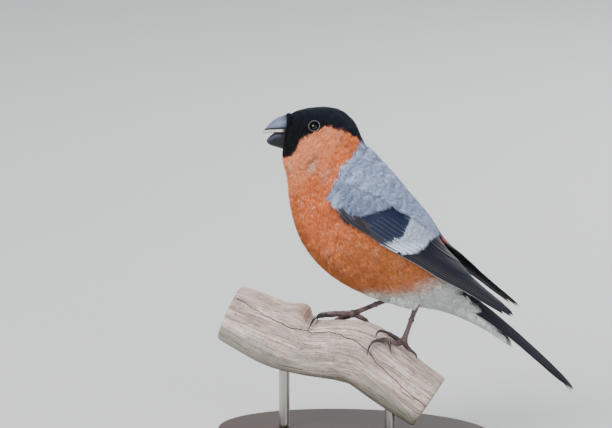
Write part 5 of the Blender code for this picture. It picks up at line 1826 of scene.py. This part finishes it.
for side, leg_points in LEGS.items():
    heel, ankle = (np.array(leg_points[k]) for k in ("heel", "ankle"))
    shank = unit(ankle - heel)
    top, bottom = heel - shank * 0.6, ankle
    shin = [top + (bottom - top) * f for f in (0, 0.25, 0.5, 0.8, 1.0)]
    skin_sets = [lidded(tube_rings(shin, TARSUS_RADII, 60, 18))]
    cuff = [shin[0] + (shin[-1] - shin[0]) * CUFF_AT + shank * f for f in CUFF_STEPS]
    skin_sets.append(lidded(tube_rings(cuff, CUFF_RADII, 12, 18)))
    paths, claw_sets, claw_nodes = [(shin, TARSUS_RADII, "shin")], [], []
    for toe, row in TOES[side].items():
        reached = [branch_point(*p) for p in row]
        joints = [ankle] + reached[:-CLAW_POINTS]
        t = np.linspace(0, 1, 36)
        radii = through(TOE_RADII, t * (len(TOE_RADII) - 1)) * (1 + 0.08 * np.cos(t * len(joints) * TAU))
        radii = radii * np.sqrt(np.clip(1 - (np.clip(t - 0.9, 0, 1) / 0.105) ** 2, 0.02, 1))
        skin_sets.append(lidded(tube_rings(joints, radii, 36, 16)))
        paths.append((joints, TOE_RADII, "toe"))
        start = joints[-1] - unit(joints[-1] - joints[-2]) * 0.2
        hook = [start] + reached[-CLAW_POINTS:]
        claw_sets.append(lidded(tube_rings(hook, CLAW_RADII, 22, 14)))
        claw_nodes.append(f"claw_{side}_{toe}")
    a, b = np.linspace(0, np.pi, 14)[1:-1, None], whole_turn(20)
    ball = np.stack([np.sin(a) * np.cos(b), np.sin(a) * np.sin(b), np.cos(a) + 0 * b], -1)
    skin_sets.append(lidded(ankle + BALL_RADIUS * ball))
    skin = outward(made("leg_" + side, *joined_arrays(skin_sets), LEG_SKIN))
    rides(skin, "leg_skin", "tarsus_" + side, "foot_" + side)
    claws = outward(made("claws_" + side, *joined_arrays(claw_sets), CLAW))
    rides(claws, "claw", *claw_nodes)
    for k, (knots, radii, kind) in enumerate(paths):
        t = np.linspace(0, 1, PATH_ROWS)
        line_points = through(knots, t * (len(knots) - 1))
        size = through(radii, t * (len(radii) - 1))
        ahead = unit(np.gradient(line_points, axis=0))
        over, last = SHIN_FRONT, PATH_ROWS
        if kind == "toe":
            over, last = unit(line_points - branch_frame(line_points[:, 0])[0]), TOE_END
        out_way = unit(over - ahead * np.sum(ahead * over, -1, keepdims=True))
        long = np.linalg.norm(np.diff(line_points[:last], axis=0), axis=1).sum()
        path = (line_points + out_way * (size * SCUTE_HEIGHT)[:, None])[:last]
        count = max(int(long / SCUTE_STEP), SCUTE_LEAST)
        plates = strung(f"scutes_{side}_{k + 1}", path, size[:last], BEAD, count, SCUTE_SIZE, LEG_SKIN)
        rides(plates, "leg_skin")

# %% [markdown]
# ## The branch
# The branch has lost its bark. Bare wood weathers to a silvery beige with fine grain lines along it,
# one long drying crack and a knot. A dense lattice carries the crack and the ridges of the grain as
# real shape, and the material adds colour along the same lines.

# %% Branch
BRANCH_ROWS, BRANCH_SIDES, BRANCH_FROM, BRANCH_TO = 320, 150, -48.0, 28.5
CRACK = [  # x, degrees round the branch
    (-48.0, 36.0), (-32.7, 50.5), (-25.0, 53.5), (-19.5, 43.0), (-7.9, 42.5), (-0.9, 51.0),
    (3.9, 60.5), (7.5, 67.0), (14.7, 76.5), (24.3, 84.0), (28.5, 87.0),
]
CRACK_DEPTH, CRACK_WIDTH, ARC = 0.6, 0.36, math.radians(11.5)  # the arc is one degree of the girth
HAIRLINES = [  # middle x, middle angle, half length
    (14.0, 98.0, 9.0), (20.0, 60.0, 6.0), (-38.0, 72.0, 7.0), (-14.0, 78.0, 6.0), (2.0, 104.0, 7.0),
    (-41.0, 15.0, 5.0), (8.0, 205.0, 12.0), (-30.0, 240.0, 12.0), (-8.0, 300.0, 10.0), (20.0, 330.0, 7.0),
]
GRAIN_WAVES, GRAIN_RISE, KNOT_AT, KNOT_SIZE, KNOT_RISE = 26, 0.018, (-23.0, 6), (3.2, 24), 0.16
END_RINGS, END_ROUND = (0.08, 0.3, 0.55, 0.8, 0.94), 0.5
AT_ENDS = {"gully": 9.0, "end": 1.0, "knot": 0.0}

x = np.linspace(BRANCH_FROM, BRANCH_TO, BRANCH_ROWS)[:, None]
degrees = np.linspace(0, 360, BRANCH_SIDES, endpoint=False)[None]
x, degrees = x + 0 * degrees, degrees + 0 * x
angle = np.radians(degrees)
dice = np.random.default_rng(SEED + 80)
grain_height = 0.0
for k in range(GRAIN_WAVES):
    around, drift, phase = dice.integers(9, 90), dice.uniform(-0.12, 0.12), dice.uniform(0, TAU)
    swell = 1 + 0.5 * np.sin(x * dice.uniform(0.05, 0.3) + phase)
    wave = np.sin(around * angle + drift * x * around * 0.15 + phase)
    grain_height = grain_height + wave * swell / around**0.5
gully = (degrees - line(CRACK, x)) * ARC + 0.3 * np.sin(x * 0.9) * np.cos(x * 0.37)
for middle_x, middle_degrees, half_length in HAIRLINES:
    bend = 0.5 * (line(CRACK, x) - line(CRACK, middle_x)) + 1.5 * np.sin(0.4 * x + middle_degrees)
    aside = (degrees - middle_degrees - bend) * ARC
    closing = 0.16 + 0.5 * np.clip(np.abs(x - middle_x) / half_length, 0, 3) ** 2
    gully = np.where(np.abs(aside) + closing < np.abs(gully), np.abs(aside) + closing, gully)
crack = hill(gully, 0, CRACK_WIDTH)
around_top = (degrees + 180) % 360 - 180
knot = hill(x, KNOT_AT[0], KNOT_SIZE[0]) * hill(around_top, KNOT_AT[1], KNOT_SIZE[1])
height = grain_height * GRAIN_RISE - CRACK_DEPTH * crack
height = height + KNOT_RISE * knot * np.sin(4.5 * x + 0.6 * np.sin(3 * angle))
for beyond in (x - BRANCH_FROM, BRANCH_TO - x):
    height = height - END_ROUND * np.exp(-beyond / END_ROUND)
fields = {
    "grain": np.stack([(x + 50) / 100, np.cos(angle) / 2 + 0.5, np.sin(angle) / 2 + 0.5], -1),
    "gully": gully,
    "knot": knot,
    "end": np.zeros(x.shape),
    "under": (1 - np.cos(np.radians(around_top - 25))) / 2,
}


def with_ends(values, far=None):
    """The rows with five smaller rings before and after them, for the cut ends."""
    middles = values[[0, -1]].mean(1, keepdims=True)
    first, last = ([middles[k] + (values[-k] - middles[k]) * f for f in END_RINGS] for k in (0, 1))
    if far is not None:
        first, last = ([np.full(values[0].shape, far)] * len(END_RINGS) for _ in (0, 1))
    return np.concatenate([np.array(first), values, np.array(last)[::-1]])


perch_rings = with_ends(branch_point(x, degrees, height))
for key, values in fields.items():
    values = with_ends(values, AT_ENDS.get(key))
    flat = values.reshape(-1, 3) if values.ndim > 2 else values.ravel()
    fields[key] = np.concatenate([flat, values[[0, -1]].mean(1)])
print("the crack is", round(float(CRACK_DEPTH * crack.max()), 2), "mm deep")

# %% [markdown]
# The wood's colour follows the same lines, because they reach the material as numbers on the points:
# the place in the grain, the distance to a crack, the knot, the cut ends and the underside, which is
# greyer in patches and darker as painted shade.

# %% Weathered wood
wood = Recipe("weathered_wood")
along_grain = wood.attribute("grain", "Color")
long_grain = wood.noise(wood.stretched(along_grain, (6.0, 26.0, 26.0)), 1.0, 7.0, 0.72)
fine_grain = wood.noise(wood.stretched(along_grain, (26.0, 130.0, 130.0)), 1.0, 5.0, 0.7)
patches = wood.noise(wood.stretched(along_grain, (5.0, 5.0, 5.0)), 1.0, 5.0, 0.65)
specks = wood.noise(wood.place(), 700.0, 3.0)
under = wood.attribute("under")
pale = wood.mix(wood.smooth(patches, 0.36, 0.60), (0.88, 0.73, 0.63), (0.50, 0.40, 0.35))
greyer_below = wood.mix(wood.smooth(under + patches * 1.2 - 0.6, 0.22, 0.72), pale, (0.40, 0.39, 0.33))
# The lower side of the branch is darkened further: painted shade.
shaded = wood.mix(wood.smooth(under, 0.62, 0.95) * 0.6, greyer_below, (0.20, 0.18, 0.13))
lined = wood.mix(wood.smooth(long_grain, 0.47, 0.62) * 0.75, shaded, (0.22, 0.14, 0.10))
lined = wood.mix(wood.smooth(fine_grain, 0.47, 0.60) * 0.65, lined, (0.13, 0.095, 0.075))
lined = wood.mix((1 - wood.smooth(fine_grain, 0.36, 0.46)) * 0.4, lined, (0.82, 0.74, 0.66))
lined = wood.mix(wood.smooth(specks, 0.60, 0.70) * 0.5, lined, (0.08, 0.06, 0.05))
knotted = wood.mix(wood.attribute("knot") * 0.7, lined, (0.25, 0.11, 0.07))
offset = wood.node("ShaderNodeVectorMath", {"operation": "SUBTRACT"}, {0: along_grain, 1: (0.0, 0.5, 0.5)})
flat = wood.node("ShaderNodeVectorMath", {"operation": "MULTIPLY"}, {0: offset, 1: (0.0, 1.0, 1.0)})
middle = wood.node("ShaderNodeVectorMath", {"operation": "LENGTH"}, {0: flat}, output=1)
years = ((middle + patches * 0.05) * 150.0).math("SINE") * 0.5 + 0.5
cut = wood.mix(years * 0.6, (0.46, 0.35, 0.26), (0.24, 0.16, 0.11))
sawn = wood.mix(wood.attribute("end"), knotted, cut)
# Inside the cracks and hairlines the wood is painted nearly black: painted shade in the grooves.
near = 1 - wood.smooth(wood.attribute("gully").math("ABSOLUTE") + fine_grain * 0.3 - 0.15, 0.05, 0.28)
WOOD = wood.finish(
    Base_Color=wood.mix(near, sawn, (0.02, 0.013, 0.010)),
    Roughness=0.74 + fine_grain * 0.15,
    Specular_IOR_Level=0.3,
    Normal=wood.bump(long_grain + fine_grain * 0.6, 0.6, 0.0003),
)
rides(closed_piece("branch", perch_rings, WOOD, fields), "perch_wood", "perch")

# %% [markdown]
# ## The stand
# The photo's branch goes on past both sides of the picture. Here it is a cut length, so a small dark
# wooden base and two satin steel rods hold it up. They have the size of their solids, and are made
# again with more sides and a rounded edge, so that light runs over them smoothly.

# %% Stand finishes
varnish = Recipe("stained_wood")
rings_of_growth = varnish.noise(varnish.stretched(varnish.place(), (60.0, 900.0, 200.0)), 1.0, 5.0, 0.6)
VARNISH = varnish.finish(
    Base_Color=varnish.mix(rings_of_growth, (0.022, 0.012, 0.008), (0.085, 0.045, 0.026)),
    Roughness=0.34 + rings_of_growth * 0.12,
    Coat_Weight=0.4,
    Coat_Roughness=0.25,
    Normal=varnish.bump(rings_of_growth, 0.15, 0.0001),
)
steel = Recipe("satin_steel")
brushed = steel.noise(steel.stretched(steel.place(), (900.0, 900.0, 60.0)), 1.0, 3.0)
STEEL = steel.finish(
    Base_Color=steel.mix(brushed, (0.42, 0.40, 0.37), (0.60, 0.58, 0.55)),
    Metallic=1.0,
    Roughness=0.26 + brushed * 0.16,
)
BASE_LENGTH, BASE_WIDTH, BASE_EDGE = 104.0, 66.0, 1.2
ROUND_SIDES, ROD_ROWS = 160, 24
turns = whole_turn(ROUND_SIDES)[:, None]
oval = np.concatenate([np.cos(turns) * BASE_LENGTH / 2, np.sin(turns) * BASE_WIDTH / 2, 0 * turns], 1)
inward = unit(oval * (1 / BASE_LENGTH**2, 1 / BASE_WIDTH**2, 1))
corner = np.linspace(0, np.pi / 2, 7)
profile = [(BASE_EDGE * 0.25, 0.0), (0.0, BASE_EDGE * 0.25)]
profile += [(BASE_EDGE * (1 - math.cos(a)), BASE_THICKNESS - BASE_EDGE * (1 - math.sin(a))) for a in corner]
rings = [oval - inward * back + (0, 0, up - BASE_THICKNESS) for back, up in profile]
rides(closed_piece("base_wood", rings, VARNISH), "stand_wood", "stand_base")
for node in ("stand_rod_front", "stand_rod_back"):
    low, high = (np.array(corner) / MM - (0, 0, BASE_THICKNESS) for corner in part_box(node))
    middle, radius = (low + high) / 2, (high - low)[0] / 2
    circle = np.concatenate([np.cos(turns) * radius, np.sin(turns) * radius, 0 * turns], 1)
    circle = circle + middle * (1, 1, 0)
    rings = [circle + (0, 0, z) for z in np.linspace(low[2], high[2], ROD_ROWS)]
    rides(closed_piece(node.replace("stand", "steel"), rings, STEEL), "stand_metal", node)

# %% [markdown]
# ## Floor and light
# A plain pale floor and three large soft lamps, as in a studio. The key stands high at the left, in
# front of the bird, which puts a small bright spot in the eye.

# %% Floor and lamps
FLOOR_HALF, FLOOR_DROP = 6000.0, 0.0002
LAMPS = {  # place, size, power
    "key": ((-0.55, -0.75, 0.95), 0.8, 21.0),
    "fill": ((0.75, -0.85, 0.45), 0.8, 5.0),
    "rim": ((0.35, 0.8, 0.75), 0.6, 11.0),
}
LAMP_TARGET, SKY_COLOUR, SKY_STRENGTH = Vector((0.0, 0.0, 0.085)), (0.80, 0.85, 0.92, 1.0), 0.5
floor_paint = Recipe("floor")
patchy = floor_paint.noise(floor_paint.place(), 4.0)
FLOOR = floor_paint.finish(
    Base_Color=floor_paint.mix(patchy, (0.62, 0.63, 0.62), (0.66, 0.66, 0.65)),
    Roughness=0.9,
)
corners = np.array([(-1, -1), (1, -1), (1, 1), (-1, 1)]) * FLOOR_HALF
corners = np.concatenate([corners, np.full((4, 1), -BASE_THICKNESS)], 1)
floor = made("floor", corners, np.arange(4)[None], FLOOR)
floor.location.z = -FLOOR_DROP
for name, (place, size, power) in LAMPS.items():
    lamp = bpy.data.lights.new(name, "AREA")
    lamp.shape, lamp.size, lamp.energy = "DISK", size, power
    holder = bpy.data.objects.new(name, lamp)
    holder.location = place
    holder.rotation_euler = (LAMP_TARGET - Vector(place)).to_track_quat("-Z", "Y").to_euler()
    bpy.context.scene.collection.objects.link(holder)
world = bpy.data.worlds.new("studio")
bpy.context.scene.world = world
world.use_nodes = True
sky = world.node_tree.nodes["Background"].inputs
sky["Color"].default_value, sky["Strength"].default_value = SKY_COLOUR, SKY_STRENGTH
print("lamps:", ", ".join(LAMPS))
